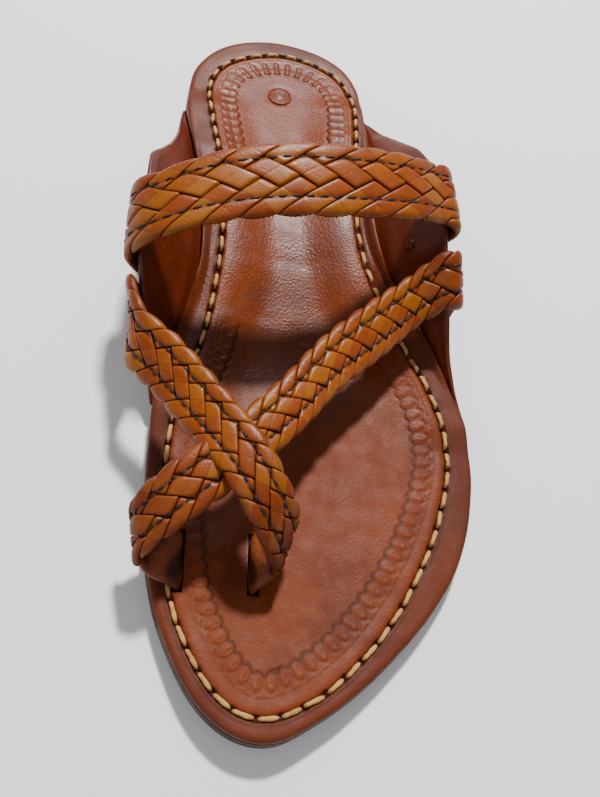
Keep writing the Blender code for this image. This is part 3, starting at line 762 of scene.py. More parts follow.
def tooling(walk, stamp_walk, depth, x, y):
    """Relief in millimetres at a distance along and in from the stitch line, and the relief that
    the leather's tint reads: painted shade in the grooves, holes and hollows and a lighter colour
    on the raised stamps, without the bed's step and a little darker across the stamped band."""
    fore = 1 - soft_step(-104.0, -96.0, y)
    heel = soft_step(-44.0, -34.0, y)
    bare = 1 - np.clip(fore + heel, 0, 1)
    first, last = read(BORDER_OUT, 1, y), read(BORDER_IN, 1, y)
    relief = -0.50 * valley(depth, 1.0) - 0.25 * valley(depth + 1.9, 0.35) * (1 - 0.7 * bare)
    relief += 0.14 * valley(depth - 2.8, 1.4) * (1 - bare)
    relief -= 0.16 * valley(depth - first + 1.0, 0.30) * (1 - bare)
    hole = (walk / STITCH_PITCH) % 1.0
    hole = np.minimum(hole, 1 - hole) * STITCH_PITCH
    gap = STITCH_PITCH / 2 - read(STITCH_REACH, 1, y)
    relief -= 1.15 * valley(depth, 0.72) * (1 - soft_step(gap - 0.5, gap + 0.3, hole))
    s = ((stamp_walk / STAMP_PITCH) % 1.0 - 0.5) * STAMP_PITCH
    rise = (depth - first) / (last - first)
    tooth = first + 1.5 * np.abs(s) / STAMP_PITCH * 2 - 0.4
    scallop = last + 0.55 - 1.1 * (np.abs(s) / STAMP_PITCH * 2) ** 2
    inside = soft_step(-0.25, 0.25, depth - tooth) * (1 - soft_step(-0.2, 0.2, depth - scallop))
    leaf = 0.30 * dome(s / 1.9, (depth - last + 2.2) / 2.4)
    leaf += 0.22 * dome(s / 1.2, (depth - first - 1.4) / 1.2)
    vein = soft_step(0.35, 0.55, rise) * (1 - soft_step(0.7, 0.95, rise))
    leaf -= 0.20 * valley(s - 0.55, 0.22) * vein
    bars = 0.34 * valley(s, 0.85) * soft_step(0.0, 0.2, rise) - 0.12 * valley(rise - 0.5, 0.12)
    loop = 0.40 * valley(np.hypot(s / 1.6, (rise - 0.5) / 0.36) - 1.0, 0.26)
    chain = soft_step(-122.0, -114.0, y) * (x < 12.0)
    worn = 1 - 0.6 * soft_step(-140.0, -112.0, y) * (x > 12.0)
    relief += inside * fore * worn * (leaf * (1 - chain) + loop * chain)
    relief += inside * heel * bars
    step = soft_step(-0.15, 0.5, depth - scallop)
    level = -(0.42 * fore * worn + 0.34 * heel) * step
    level = level - inside * (0.34 * fore * worn + 0.22 * heel)
    relief -= (0.38 * fore * worn + 0.30 * heel) * valley(depth - scallop - 0.1, 0.36)
    # The waist's folds also go into the tint: painted shade in their troughs, a lighter colour on
    # their crests.
    folds = bare * (1 - soft_step(-1.6, -1.0, depth)) * soft_step(-9.0, -7.5, depth)
    relief += 0.36 * folds * np.sin(depth * 2.2 + 0.9 * np.sin(y / 7.0)) * (0.4 + 0.6 * (x > 0))
    return relief + level, relief - 0.10 * inside * (fore + heel)

# %% [markdown]
# Use adds the rest: long soft troughs where the waist bends, cross creases under the ball, and
# a round nail head pressed into the heel pad. Each is placed in the shoe's own size.

# %% Wear and the heel's nail
TROUGHS = [
    # x, y, length, width, turn in degrees, depth in mm
    (4.0, -150.0, 46.0, 2.2, 8.0, 0.16), (18.0, -160.0, 40.0, 1.8, -6.0, 0.12),
    (6.0, -172.0, 52.0, 2.6, 4.0, 0.12), (24.0, -140.0, 34.0, 2.0, 12.0, 0.12),
    (-2.0, -96.0, 26.0, 2.2, -3.0, 0.14), (3.0, -74.0, 24.0, 2.4, 5.0, 0.12),
    (2.0, -58.0, 26.0, 2.4, -4.0, 0.12), (0.0, -34.0, 22.0, 2.0, 6.0, 0.10),
]
NAIL = (1.5, 3.7)
NAIL_RADIUS = 4.8


def wear(x, y):
    """Soft creases and the foot's own hollow, in millimetres."""
    relief = np.zeros_like(x)
    for cx, cy, length, width, angle, depth in TROUGHS:
        c, s = math.cos(math.radians(angle)), math.sin(math.radians(angle))
        u = (x - cx) * c + (y - cy) * s
        v = (y - cy) * c - (x - cx) * s + 1.2 * np.sin(u / 6.0)
        relief -= depth * valley(u, length / 2) * valley(v, width)
    relief -= 0.5 * valley(np.hypot(x - 12, (y + 150) * 0.8), 26.0)
    relief -= 0.4 * valley(np.hypot(x - 1, (y - 2) * 0.8), 15.0)
    relief += 0.7 * valley(np.hypot(x + 14, (y + 177) * 0.8), 6.0)
    ring = np.hypot(x - NAIL[0], y - NAIL[1])
    return relief - 0.25 * (1 - soft_step(NAIL_RADIUS - 0.3, NAIL_RADIUS + 1.4, ring))


# %% Build the insole
BORDER_MIDDLE = 8.5
BORDER_SMOOTH = 9.0
EDGE_ROUNDING = 2.2
EDGE_DROP = 1.3
SIDE_DROPS = (0.0027, 0.0016)


def moved_in(depth, smoothed):
    """The stitch line moved in by depth, its directions smoothed over a longer reach inside."""
    return stitch_points + unit(round_smooth(inward, smoothed / STATION_STEP * 0.75)) * depth


border_line = moved_in(BORDER_MIDDLE, BORDER_SMOOTH)
border_steps = np.linalg.norm(np.roll(border_line, -1, axis=0) - border_line, axis=1)
border_walk = np.concatenate([[0], np.cumsum(border_steps)[:-1]])
border_walk *= round(border_steps.sum() / STAMP_PITCH) * STAMP_PITCH / border_steps.sum()

rings, ring_depth, ring_edge = [], [], []
for share in reversed(OUTER_RINGS[1:]):
    rings.append(stitch_points + (edge_points - stitch_points) * share)
    ring_depth.append(-margin * share)
    ring_edge.append(margin * (1 - share))
for depth in TOOLED_RINGS:
    rings.append(moved_in(depth, depth))
    ring_depth.append(np.full(stations, depth))
    ring_edge.append(margin + depth)
last_ring = rings[-1]
spine = middle_line(last_ring)
for share in BED_RINGS:
    rings.append(last_ring + (spine - last_ring) * share)
    reach = np.linalg.norm(spine - last_ring, axis=1) * share
    ring_depth.append(TOOLED_RINGS[-1] + reach)
    ring_edge.append(margin + TOOLED_RINGS[-1] + reach)

flat = np.vstack(rings)
depths, from_edge = np.concatenate(ring_depth), np.concatenate(ring_edge)
# The second value is the relief that the leather's tint reads, for painted shade in the tooling's
# hollows.
tooled, shade_relief = tooling(np.tile(walked, len(rings)), np.tile(border_walk, len(rings)), depths,
                        flat[:, 0], flat[:, 1])
relief = tooled + wear(flat[:, 0], flat[:, 1])
inset = np.clip(1 - from_edge / EDGE_ROUNDING, 0, 1)
round_off = 1 - np.sqrt(np.clip(1 - inset ** 2, 0, 1))


def on_insole(points, depth, drop):
    """Flat points in mm set on the untooled insole or below it, in metres."""
    z = insole_top(points[:, 0] / 1000, points[:, 1] / 1000, depth / 1000)
    return np.column_stack([points / 1000, z - drop])


under = []
for share in (0.75, 0.35):
    inner = edge_points + (spine - edge_points) * share
    under.append(on_insole(inner, np.linalg.norm(inner - edge_points, axis=1), INSOLE_THICK))
low_middle = np.column_stack([spine / 1000, under[0][:, 2]])
sides = [on_insole(edge_points, np.zeros(stations), drop) for drop in SIDE_DROPS]
tooled_top = on_insole(flat, from_edge, (EDGE_DROP * round_off - relief) / 1000)
insole_verts = np.vstack([low_middle] + under + sides + [tooled_top])
insole_faces = ring_faces(len(insole_verts) // stations, stations)
insole = new_piece("insole_tooled", insole_verts, insole_faces, INSOLE_LEATHER, 80)
hidden = np.zeros(len(insole_verts) - len(relief))
outside = 1 - soft_step(-2.6, 0.6, depths)
matt = 1 - soft_step(-150.0, -92.0, flat[:, 1])
for label, start, values in (("relief", 0, shade_relief), ("margin", 1, outside), ("dull", 0, matt)):
    store(insole.data, label, np.concatenate([hidden + start, values]))

# %% [markdown]
# The toe loop's tabs go down through two slits. Each slit is cut from the finished insole with
# a Boolean, so its walls are as thick as the leather.

# %% Cut the slits
SLIT_PLAY = 0.0005
for slit_x in (-SLIT_INNER, -SLIT_OUTER):
    bpy.ops.mesh.primitive_cube_add(size=1, location=(slit_x, -SLIT_FORWARD, 0.008))
    cutter = bpy.context.object
    cutter.scale = (TAB_THICK + 2 * SLIT_PLAY, SLIT_LENGTH + 2 * SLIT_PLAY, 0.05)
    bpy.ops.object.transform_apply(location=False, rotation=False, scale=True)
    cut = insole.modifiers.new("slit", "BOOLEAN")
    cut.operation = "DIFFERENCE"
    cut.object = cutter
    bpy.context.view_layer.objects.active = insole
    bpy.ops.object.modifier_apply(modifier=cut.name)
    bpy.data.objects.remove(cutter)
settle(insole, "insole_leather", "insole")
INSOLE_TREE = BVHTree.FromObject(insole, bpy.context.evaluated_depsgraph_get())


def drop_on(tree, x, y, start=0.2):
    """Height of the surface under a point."""
    hit = tree.ray_cast(Vector((x, y, start)), Vector((0, 0, -1)))[0]
    return hit.z if hit else None

# %% [markdown]
# The round nail head in the heel pad is turned: a raised rim, a ring inside it and a low middle.
# It leans with the leather under it.

# %% Nail heads
NAIL_PROFILE = [
    # radius share, height in mm
    (0.00, 0.34), (0.12, 0.33), (0.22, 0.26), (0.30, 0.14), (0.38, 0.10), (0.46, 0.20),
    (0.52, 0.38), (0.58, 0.44), (0.64, 0.34), (0.70, 0.18), (0.75, 0.16), (0.80, 0.32),
    (0.85, 0.52), (0.90, 0.58), (0.95, 0.46), (0.99, 0.20), (1.00, -0.05), (1.00, -0.6),
]
EAR_NAIL_PROFILE = [
    # radius share, height in mm
    (0.00, 0.30), (0.20, 0.36), (0.45, 0.52), (0.65, 0.62), (0.82, 0.54), (0.94, 0.28),
    (1.00, 0.0), (1.00, -0.5),
]
EAR_NAIL = (0.408, 0.80)
EAR_NAIL_RADIUS = 2.2
NAIL_SIDES = 96


def nail_head(name, centre, outward, radius, profile, material, slot):
    """A head turned round its own axis and set on a surface. radius is in millimetres."""
    outward = unit(outward)
    first = unit(np.cross(outward, (0.0, 1.0, 0.0)))
    second = np.cross(outward, first)
    turns = np.linspace(0, 2 * math.pi, NAIL_SIDES, endpoint=False)[:, None]
    spokes = np.cos(turns) * first + np.sin(turns) * second
    points = [centre + spokes * share * radius / 1000 + outward * height / 1000
              for share, height in profile]
    faces = ring_faces(len(profile), NAIL_SIDES, last=True)
    nail = new_piece(name, np.vstack(points), faces, material, 70)
    # The stored relief paints shade into the head's low rings and middle, and a lighter colour on
    # its raised rims.
    store(nail.data, "relief", np.repeat([h - 0.34 for _, h in profile], NAIL_SIDES))
    settle(nail, slot)


nail_x, nail_y, reach = NAIL[0] / 1000, NAIL[1] / 1000, NAIL_RADIUS / 1000
nail_z = [drop_on(INSOLE_TREE, nail_x + dx * reach, nail_y + dy * reach)
          for dx, dy in ((0, 0), (1, 0), (-1, 0), (0, 1), (0, -1))]
lean = np.array([nail_z[2] - nail_z[1], nail_z[4] - nail_z[3], 2 * reach])
nail_head("heel_nail_head", np.array([nail_x, nail_y, sum(nail_z) / 5]), lean, NAIL_RADIUS,
          NAIL_PROFILE, INSOLE_LEATHER, "insole_leather")
own = EAR_THICK * float(ear_weight(1, *EAR_NAIL))
seat = ear_point(1, *EAR_NAIL, -own)
nail_head("ear_nail_head", seat, seat - ear_point(1, *EAR_NAIL), EAR_NAIL_RADIUS,
          EAR_NAIL_PROFILE, EAR_LEATHER, "ear_leather")

# %% [markdown]
# The sole is sewn with one thick waxed cord. Each stitch comes up through a hole, lies in the
# groove and goes down again, so it is a short arched cord with two strands twisted round each
# other. Hand work makes each one a little different, by a seeded set of numbers.

# %% Cord stitches
CORD_RADIUS = 0.00068
chance = np.random.default_rng(7)
count = int(round(stitch_length / STITCH_PITCH))
cords = []
for k in range(count):
    centre = (k + 0.5) * STITCH_PITCH + chance.normal(0, 0.15)
    station_y = stitch_points[int(centre / stitch_length * stations) % stations][1]
    reach = float(read(STITCH_REACH, 1, station_y)) + 0.25 + chance.normal(0, 0.14)
    sway = chance.normal(0, 0.16)
    path = []
    for share in np.linspace(-1, 1, 15):
        at = ((centre + share * reach) % stitch_length) / stitch_length * stations
        i = int(at) % stations
        j = (i + 1) % stations
        spot = stitch_points[i] + (stitch_points[j] - stitch_points[i]) * (at - int(at))
        spot = spot + inward[i] * sway * share
        base = insole_top(spot[0] / 1000, spot[1] / 1000, margin[i] / 1000)
        arch = 0.00030 - 0.0014 * abs(share) ** 7
        path.append((spot[0] / 1000, spot[1] / 1000, float(base) + arch))
    radii = CORD_RADIUS * (1 - 0.35 * np.abs(np.linspace(-1, 1, 15)) ** 6)
    cords.append(tube(path, radii, 10, twist=1.6 * math.pi, plies=0.09))
cord = new_piece("sole_stitches", *gather(cords), CORD, 70)
settle(cord, "insole_leather")

# %% [markdown]
# Both ears are single skived sheets. They are drawn again from their own curve with finer
# steps, a rounded free edge, and the long wrinkles that form where the leather flares out.

# %% Ears
EAR_STATIONS = 110
EAR_LEVELS = 22
EDGE_SWELL = 0.4


def make_ear(name, side, node):
    """A closed sheet: outer face up, round the free edge, and down the inner face."""
    first, last = ear_table(side)[0][0], ear_table(side)[-1][0]
    points, marks = [], []
    heights = [0.0, 0.12, *np.linspace(EAR_ROOT, 1.0, EAR_LEVELS)]
    for i in range(EAR_STATIONS + 1):
        along = first + (last - first) * i / EAR_STATIONS
        # tint is the relief that the leather reads: painted shade in each wrinkle's trough, a
        # painted highlight on its crest, and a lighter colour along the rounded free edge.
        loop, tint = [], []
        for h in heights:
            wave = 0.16 * math.sin(9 * math.pi * h + 14 * along) * math.sin(math.pi * h) ** 2
            loop.append(ear_point(side, along, h, wave / 1000))
            tint.append(wave)
        thick = EAR_THICK * float(ear_weight(side, along, 1.0))
        top_out = ear_point(side, along, 1.0)
        top_in = ear_point(side, along, 1.0, -thick)
        low = ear_point(side, along, 0.97)
        up = unit(top_out - low)
        for turned in np.radians((45, 90, 135)):
            spread, swell = math.cos(turned), math.sin(turned) * thick * EDGE_SWELL
            loop.append((top_out + top_in) / 2 + (top_out - top_in) / 2 * spread + up * swell)
            tint.append(0.3)
        for h in reversed(heights):
            wave = 0.22 * math.sin(11 * math.pi * h + 18 * along) * math.sin(math.pi * h) ** 2
            own = EAR_THICK * float(ear_weight(side, along, h))
            loop.append(ear_point(side, along, h, -own + wave / 1000))
            tint.append(wave)
        points += loop
        marks += tint
    faces = ring_faces(EAR_STATIONS + 1, len(loop), True, True)
    ear = new_piece(name, points, faces, EAR_LEATHER, 60)
    store(ear.data, "relief", marks)
    settle(ear, "ear_leather", node)


make_ear("inner_ear", -1, "ear_inner")
make_ear("outer_ear", 1, "ear_outer")

# %% [markdown]
# The outsole's edge is cut with a knife, then burnished: it bulges a little and shows the line
# between its two plies. It is a loft of rings, one above the other, round the sole's outline.

# %% Outsole
RIM_POINTS = 900
EDGE_WOBBLE = 0.04
EDGE_PROFILE = [
    # inset in mm, share of the thickness, tint stored as relief: darker towards the bottom and at
    # the line between the plies
    (8.0, 0.00, -0.5), (0.9, 0.00, -0.5), (0.30, 0.05, -0.4), (0.08, 0.16, -0.3), (0.0, 0.30, -0.2),
    (0.06, 0.42, -0.3), (0.22, 0.47, -0.6), (0.08, 0.52, -0.2), (0.0, 0.64, 0.0),
    (0.04, 0.84, 0.0), (0.20, 0.95, 0.0), (0.8, 1.00, 0.0), (8.0, 1.00, 0.0),
]
rim_length = walked_length(rim)
rim_walk = np.linspace(0, rim_length[-1], RIM_POINTS, endpoint=False)
rim_fine, rim_side = (np.column_stack([np.interp(rim_walk, rim_length, line[:, c]) for c in (0, 1)])
                      for line in (rim, rim_in))
rim_side = unit(rim_side)


def edge_ring(ring, share):
    """A ring in metres, at a share of the outsole's thickness."""
    along = along_at(ring[:, 1] / 1000)
    low = outsole_bottom(along)
    return np.column_stack([ring / 1000, low + (outsole_top(along) - low) * share])


edge_rings, edge_tints = [edge_ring(middle_line(rim_fine), 0.0)], [0.0]
for inset, share, tint in EDGE_PROFILE:
    wobble = EDGE_WOBBLE * np.sin(rim_walk / 9.0 + 5 * share)[:, None]
    edge_rings.append(edge_ring(rim_fine + rim_side * inset + rim_side * wobble, share))
    edge_tints.append(tint)
edge_rings.append(edge_ring(middle_line(rim_fine), 1.0))
outsole = new_piece("outsole_plies", np.vstack(edge_rings), ring_faces(len(edge_rings), RIM_POINTS),
                    SOLE_LEATHER, 60)
store(outsole.data, "relief", np.repeat(edge_tints + [0.0], RIM_POINTS))
settle(outsole, "sole_leather", "outsole")

# %% [markdown]
# The heel is a stack of lifts, glued and nailed. Each lift is its own slightly uneven slice, so
# the stack's back shows its layers. The breast in front is cut straight across.

# %% Heel
HEEL_LIFTS = 3
HEEL_STEPS = 40
HEEL_TINTS = (-0.3, 0.0, 0.1, 0.1, -0.1, -0.5)


def heel_outline(inset):
    """Closed outline of a lift, drawn in by inset, in metres."""
    last = HEEL_BREAST / SOLE_LENGTH
    turns = np.linspace(0, math.pi / 2, HEEL_STEPS + 1)
    alongs = np.maximum(last * (1 - np.cos(turns)), 0.0003)
    outer = np.column_stack([edge_x(1, alongs), y_at(alongs)])
    inner = np.column_stack([edge_x(-1, alongs), y_at(alongs)])[::-1]
    outline = np.vstack([outer, inner])
    return outline - unit(outline - (0.0, y_at(last / 2))) * inset


slices = []
stack = HEEL_RISE - GAP
for k in range(HEEL_LIFTS):
    low, high = stack * k / HEEL_LIFTS, stack * (k + 1) / HEEL_LIFTS
    profile = [(0.0012, low), (0.0005, low + 0.0002), (0.0002, low + 0.0009),
               (0.0002, high - 0.0009), (0.0006, high - 0.0002), (0.0016, high)]
    loops = [np.column_stack([heel_outline(inset + 0.0002 * (k % 2)),
                              np.full(2 * HEEL_STEPS + 2, z)]) for inset, z in profile]
    slices.append((np.vstack(loops), ring_faces(len(loops), len(loops[0]), True, True)))
heel = new_piece("heel_lifts", *gather(slices), HEEL_LEATHER, 40)
store(heel.data, "relief", np.tile(np.repeat(HEEL_TINTS, 2 * HEEL_STEPS + 2), HEEL_LIFTS))
settle(heel, "heel_leather", "heel")

# %% [markdown]
# The plait. A flat plait of N strips is N copies of one zigzag: each strip runs slantwise to
# the strap's edge, folds over there and runs back underneath. So a strip is built straight, as
# a ribbon of oblique cells, and then folded: every cell gets a layer, on top or beneath, and
# every time the ribbon reaches the edge it turns over in a small round fold. That gives the
# petals along both edges and the diamonds in the middle, with real crossings.

# %% Strips of a flat plait
STRIP_THICK = 1.45
LAYER_RISE = 0.86
PETAL = 0.95
BLEND_REACH = 0.17
SEAM_REACH = 0.035
CELL_SPOTS = (0.0, 0.03, 0.07, 0.13, 0.22, 0.36, 0.50, 0.64, 0.78, 0.87, 0.93, 0.97)
ACROSS = np.array([-1, -0.97, -0.90, -0.75, -0.55, -0.28, 0, 0.28, 0.55, 0.75, 0.90, 0.97, 1])
tone_chance = np.random.default_rng(11)


def plait_strips(width, length, strands, pitch, over):
    """Closed ribbons in the strap's flat space: s along, v across and h up, in millimetres.
    over says in which crossing columns the strips that climb to +v are on top."""
    step = width / strands
    edge = width / 2 - STRIP_THICK / 2 - PETAL * 0.4
    period = 2 * strands
    quarter = LAYER_RISE * math.pi / 2
    levels = np.zeros(period)
    for column, on_top in enumerate(over):
        levels[column + 1] = 1.0 if on_top else -1.0
        levels[period - column - 1] = -levels[column + 1]
    order = np.concatenate([ACROSS, ACROSS[-2:0:-1]])
    face = np.concatenate([np.ones(len(ACROSS)), -np.ones(len(ACROSS) - 2)])
    body = STRIP_THICK * (0.5 - 0.30 * np.abs(order) ** 14 - 0.04 * order ** 2)
    body[np.abs(order) == 1.0] = 0.0
    whole = np.arange(int(2 * length / pitch + 2 * period)) + 0.5
    walk = (whole[:, None] + np.array(CELL_SPOTS)).reshape(-1, 1)
    off = order * 0.492
    place = (walk + off) % period
    climbing = place < strands
    above = np.where(climbing, 1.0, -1.0)
    index = np.floor(walk + 0.5 + 1e-9).astype(int)
    part = np.maximum(walk + 0.5 - index, 0.0)
    near_edge = np.minimum(part, 1 - part)
    after = np.where(part > 0.5, index + 1, index - 1)
    here = np.where(np.isin(index % period, (0, strands)), above, levels[index % period])
    beside = np.where(np.isin(after % period, (0, strands)), here, levels[after % period])
    blend = 0.5 * soft_step(0.0, BLEND_REACH, BLEND_REACH - near_edge)
    seam = np.exp(-(near_edge / SEAM_REACH) ** 2)
    h = (here * (1 - blend) + beside * blend) * LAYER_RISE - 0.05 * seam * np.sign(here)
    v = np.where(climbing, place - strands / 2, 1.5 * strands - place) * step * edge / (width / 2)
    way = np.where(v > 0, 1.0, -1.0)
    gap = np.abs(edge - np.abs(v))
    angle = np.minimum(gap, quarter) / LAYER_RISE
    bent = gap < quarter
    pull = np.clip(1 - (gap - quarter) / step, 0, 1)
    flat = v + way * LAYER_RISE * (math.pi / 2 - 1) * pull
    v = np.where(bent, way * (edge - LAYER_RISE + LAYER_RISE * np.cos(angle)), flat)
    h = np.where(bent, above * LAYER_RISE * np.sin(angle), h)
    out_h = np.where(bent, np.sin(angle), 1.0) * above
    out_v = np.where(bent, np.cos(angle) * way, 0.0)
    v = v + way * PETAL * np.cos(math.pi * order / 2) * np.exp(-gap / 1.6)
    outer = face * body
    # Painted shade: a strip darkens where it dives under its neighbour, and the lower layer is dark
    # all over. The darker edge of each strip is partly its cut edge's own colour and partly painted
    # shade in the gaps between strips.
    crease = np.where(np.abs(here - beside) > 0.5, -1.6, -0.35) * seam
    rim_tint = -0.7 * np.clip((np.abs(order) - 0.93) / 0.07, 0, 1)
    shade = np.where(h > -LAYER_RISE * 0.5, np.minimum(crease, rim_tint), -0.8)
    faces = ring_faces(len(walk), len(order), True, True)
    parts, tones = [], []
    for strand in range(strands):
        s = pitch / 2 * (walk + strand * 2.0 - period - off)
        points = np.stack([s, v + out_v * outer, h + out_h * outer], axis=-1)
        parts.append((points.reshape(-1, 3), faces))
        tone = tone_chance.random(len(whole) + 1)[np.minimum(index, len(whole))]
        tones.append(np.broadcast_to(tone, shade.shape).ravel())
    points, faces = gather(parts)
    return points, faces, np.tile(shade.ravel(), strands), np.concatenate(tones)

# %% [markdown]
# The flat plait is trimmed square at both ends, and its surface gets the two sunk lines where
# the thread runs. Then it is laid along the strap's own path, as the solid model has it.

# %% From flat to the strap's path
WALL_ALONGS = np.linspace(0.12, 0.64, 210)
WALL_HEIGHTS = np.linspace(0.30, 1.0, 25)
PATH_STEPS = 220
PATH_ACROSS = 8
LINE_DEPTH = 0.42
LINE_WIDTH = 0.70
THREAD_RADIUS = 0.36
THREAD_RISE = 0.12
THREAD_DIP = 0.55


def over_ear(side, back, front, heights):
    """Rows of a strap that comes up an ear's outer face and over its free edge."""
    alongs = (back, (back + front) / 2, front)
    rows = [[ear_point(side, a, height, SEAT) for a in alongs] for height in heights]
    crest = []
    for along in alongs:
        low, top = ear_point(side, along, CREST_FROM), ear_point(side, along, 1.0)
        out = ear_point(side, along, 1.0, 1.0) - top
        crest.append(top + unit(top - low) * CREST_RISE - out * EAR_THICK * CREST_INSET)
    return [np.concatenate(row) for row in rows + [crest]]


def free_rows(table, height):
    size = np.array((BALL_WIDTH, SOLE_LENGTH, height))
    rows = []
    for row in table:
        back, front = np.array(row[:3]) * size, np.array(row[3:]) * size
        rows.append(np.concatenate([back, (back + front) / 2 + (0, 0, STRAP_CROWN), front]))
    return rows


def into_slit(x, side):
    face = x - side * TAB_THICK / 2
    floor_z = float(outsole_top(along_at(-SLIT_FORWARD))) + 2 * GAP
    return [np.concatenate([(face, -SLIT_FORWARD + share * SLIT_LENGTH, floor_z + height)
                            for share in (0.5, 0, -0.5)])
            for height in (INSOLE_THICK + TAB_CLEAR, 0.0)]


def ear_wall(side):
    """The ear's outer face and its outward directions, by station and height."""
    face = [[ear_point(side, a, h) for h in WALL_HEIGHTS] for a in WALL_ALONGS]
    off = [[ear_point(side, a, h, 1.0) for h in WALL_HEIGHTS] for a in WALL_ALONGS]
    return np.array(face), np.array(off) - np.array(face)


WALLS = {-1: ear_wall(-1), 1: ear_wall(1)}


def clear_of_ear(point):
    """The point, moved off the ear's outer face or free edge if it is too close."""
    side = -1 if point[0] < 0 else 1
    along = along_at(point[1])
    table = ear_table(side)
    if not table[0][0] < along < table[-1][0]:
        return point
    place = (along - WALL_ALONGS[0]) / (WALL_ALONGS[1] - WALL_ALONGS[0])
    i = int(place)
    outer, away = (f[i] + (f[i + 1] - f[i]) * (place - i) for f in WALLS[side])
    near = int(np.argmin(np.linalg.norm(outer - point, axis=1)))
    depth = float(np.dot(point - outer[near], away[near]))
    if near < len(outer) - 1:
        if -EAR_THICK < depth < SEAT:
            return point + away[near] * (SEAT - depth)
        return point
    middle = outer[-1] - away[-1] * EAR_THICK * EDGE_ROUND
    wanted = EAR_THICK * EDGE_ROUND + SEAT + 2 * GAP
    return middle + (point - middle) * max(1.0, wanted / np.linalg.norm(point - middle))


def strap_sheet(rows):
    """Grid of points on a strap's inner face, its outward directions and its length."""
    rows = np.array(rows, dtype=float)
    steps = np.linalg.norm(np.diff(rows[:, 3:6], axis=0), axis=1)
    at = np.concatenate([[0.0], np.cumsum(np.sqrt(steps))])
    lean = np.gradient(rows, at, axis=0)
    fine = []
    for t in np.linspace(0, at[-1], 40 * len(rows)):
        i = min(int(np.searchsorted(at, t, side="right")) - 1, len(at) - 2)
        span = at[i + 1] - at[i]
        u = (t - at[i]) / span
        a, b = rows[i], rows[i + 1]
        da, db = lean[i] * span, lean[i + 1] * span
        fine.append(a + u * (da + u * (3 * (b - a) - 2 * da - db + u * (2 * (a - b) + da + db))))
    fine = np.array(fine)
    walk = walked_length(fine[:, 3:6])
    even = np.linspace(0, walk[-1], PATH_STEPS + 1)
    samples = np.column_stack([np.interp(even, walk, fine[:, c]) for c in range(9)])
    grid = np.zeros((PATH_STEPS + 1, PATH_ACROSS + 1, 3))
    for i, sample in enumerate(samples):
        back, middle, front = sample[:3], sample[3:6], sample[6:]
        half_way, sag = (front - back) / 2, (front + back) / 2 - middle
        for j in range(PATH_ACROSS + 1):
            across = 2 * j / PATH_ACROSS - 1
            grid[i, j] = clear_of_ear(middle + half_way * across + sag * across ** 2)
    for _ in range(6):
        grid[1:-1] = (grid[:-2] + 2 * grid[1:-1] + grid[2:]) / 4
    out = unit(np.cross(np.gradient(grid, axis=0), np.gradient(grid, axis=1)))
    if out[PATH_STEPS // 2, PATH_ACROSS // 2][2] < 0:
        out = -out
    return grid, out, walk[-1]


def lay(points, width, sheet):
    """Flat points in mm (s along, v across, h up) laid on a strap's sheet, in metres."""
    grid, out, length = sheet
    u = np.clip(points[:, 0] / 1000 / length, 0, 1) * PATH_STEPS
    w = (points[:, 1] / width + 0.5) * PATH_ACROSS
    i = np.clip(u.astype(int), 0, PATH_STEPS - 1)
    j = np.clip(np.floor(w).astype(int), 0, PATH_ACROSS - 1)
    fu, fw = (u - i)[:, None], (w - j)[:, None]

    def sample(field):
        low = field[i, j] * (1 - fw) + field[i, j + 1] * fw
        high = field[i + 1, j] * (1 - fw) + field[i + 1, j + 1] * fw
        return low * (1 - fu) + high * fu

    return sample(grid) + unit(sample(out)) * (STRAP_THICK / 2 + points[:, 2] / 1000)[:, None]


def trim(points, faces, tints, tones, length):
    """Cuts the flat plait square at both ends and closes the strips."""
    mesh = bpy.data.meshes.new("flat")
    mesh.from_pydata([tuple(p) for p in points], [], faces)
    store(mesh, "relief", tints)
    store(mesh, "tone", tones)
    work = bmesh.new()
    work.from_mesh(mesh)
    for place, way in ((0.0, -1), (length, 1)):
        parts = work.verts[:] + work.edges[:] + work.faces[:]
        bmesh.ops.bisect_plane(work, geom=parts, plane_co=(place, 0, 0), plane_no=(way, 0, 0),
                               clear_outer=True)
        bmesh.ops.edgeloop_fill(work, edges=[e for e in work.edges if e.is_boundary])
    bmesh.ops.recalc_face_normals(work, faces=work.faces)
    work.to_mesh(mesh)
    work.free()
    return mesh


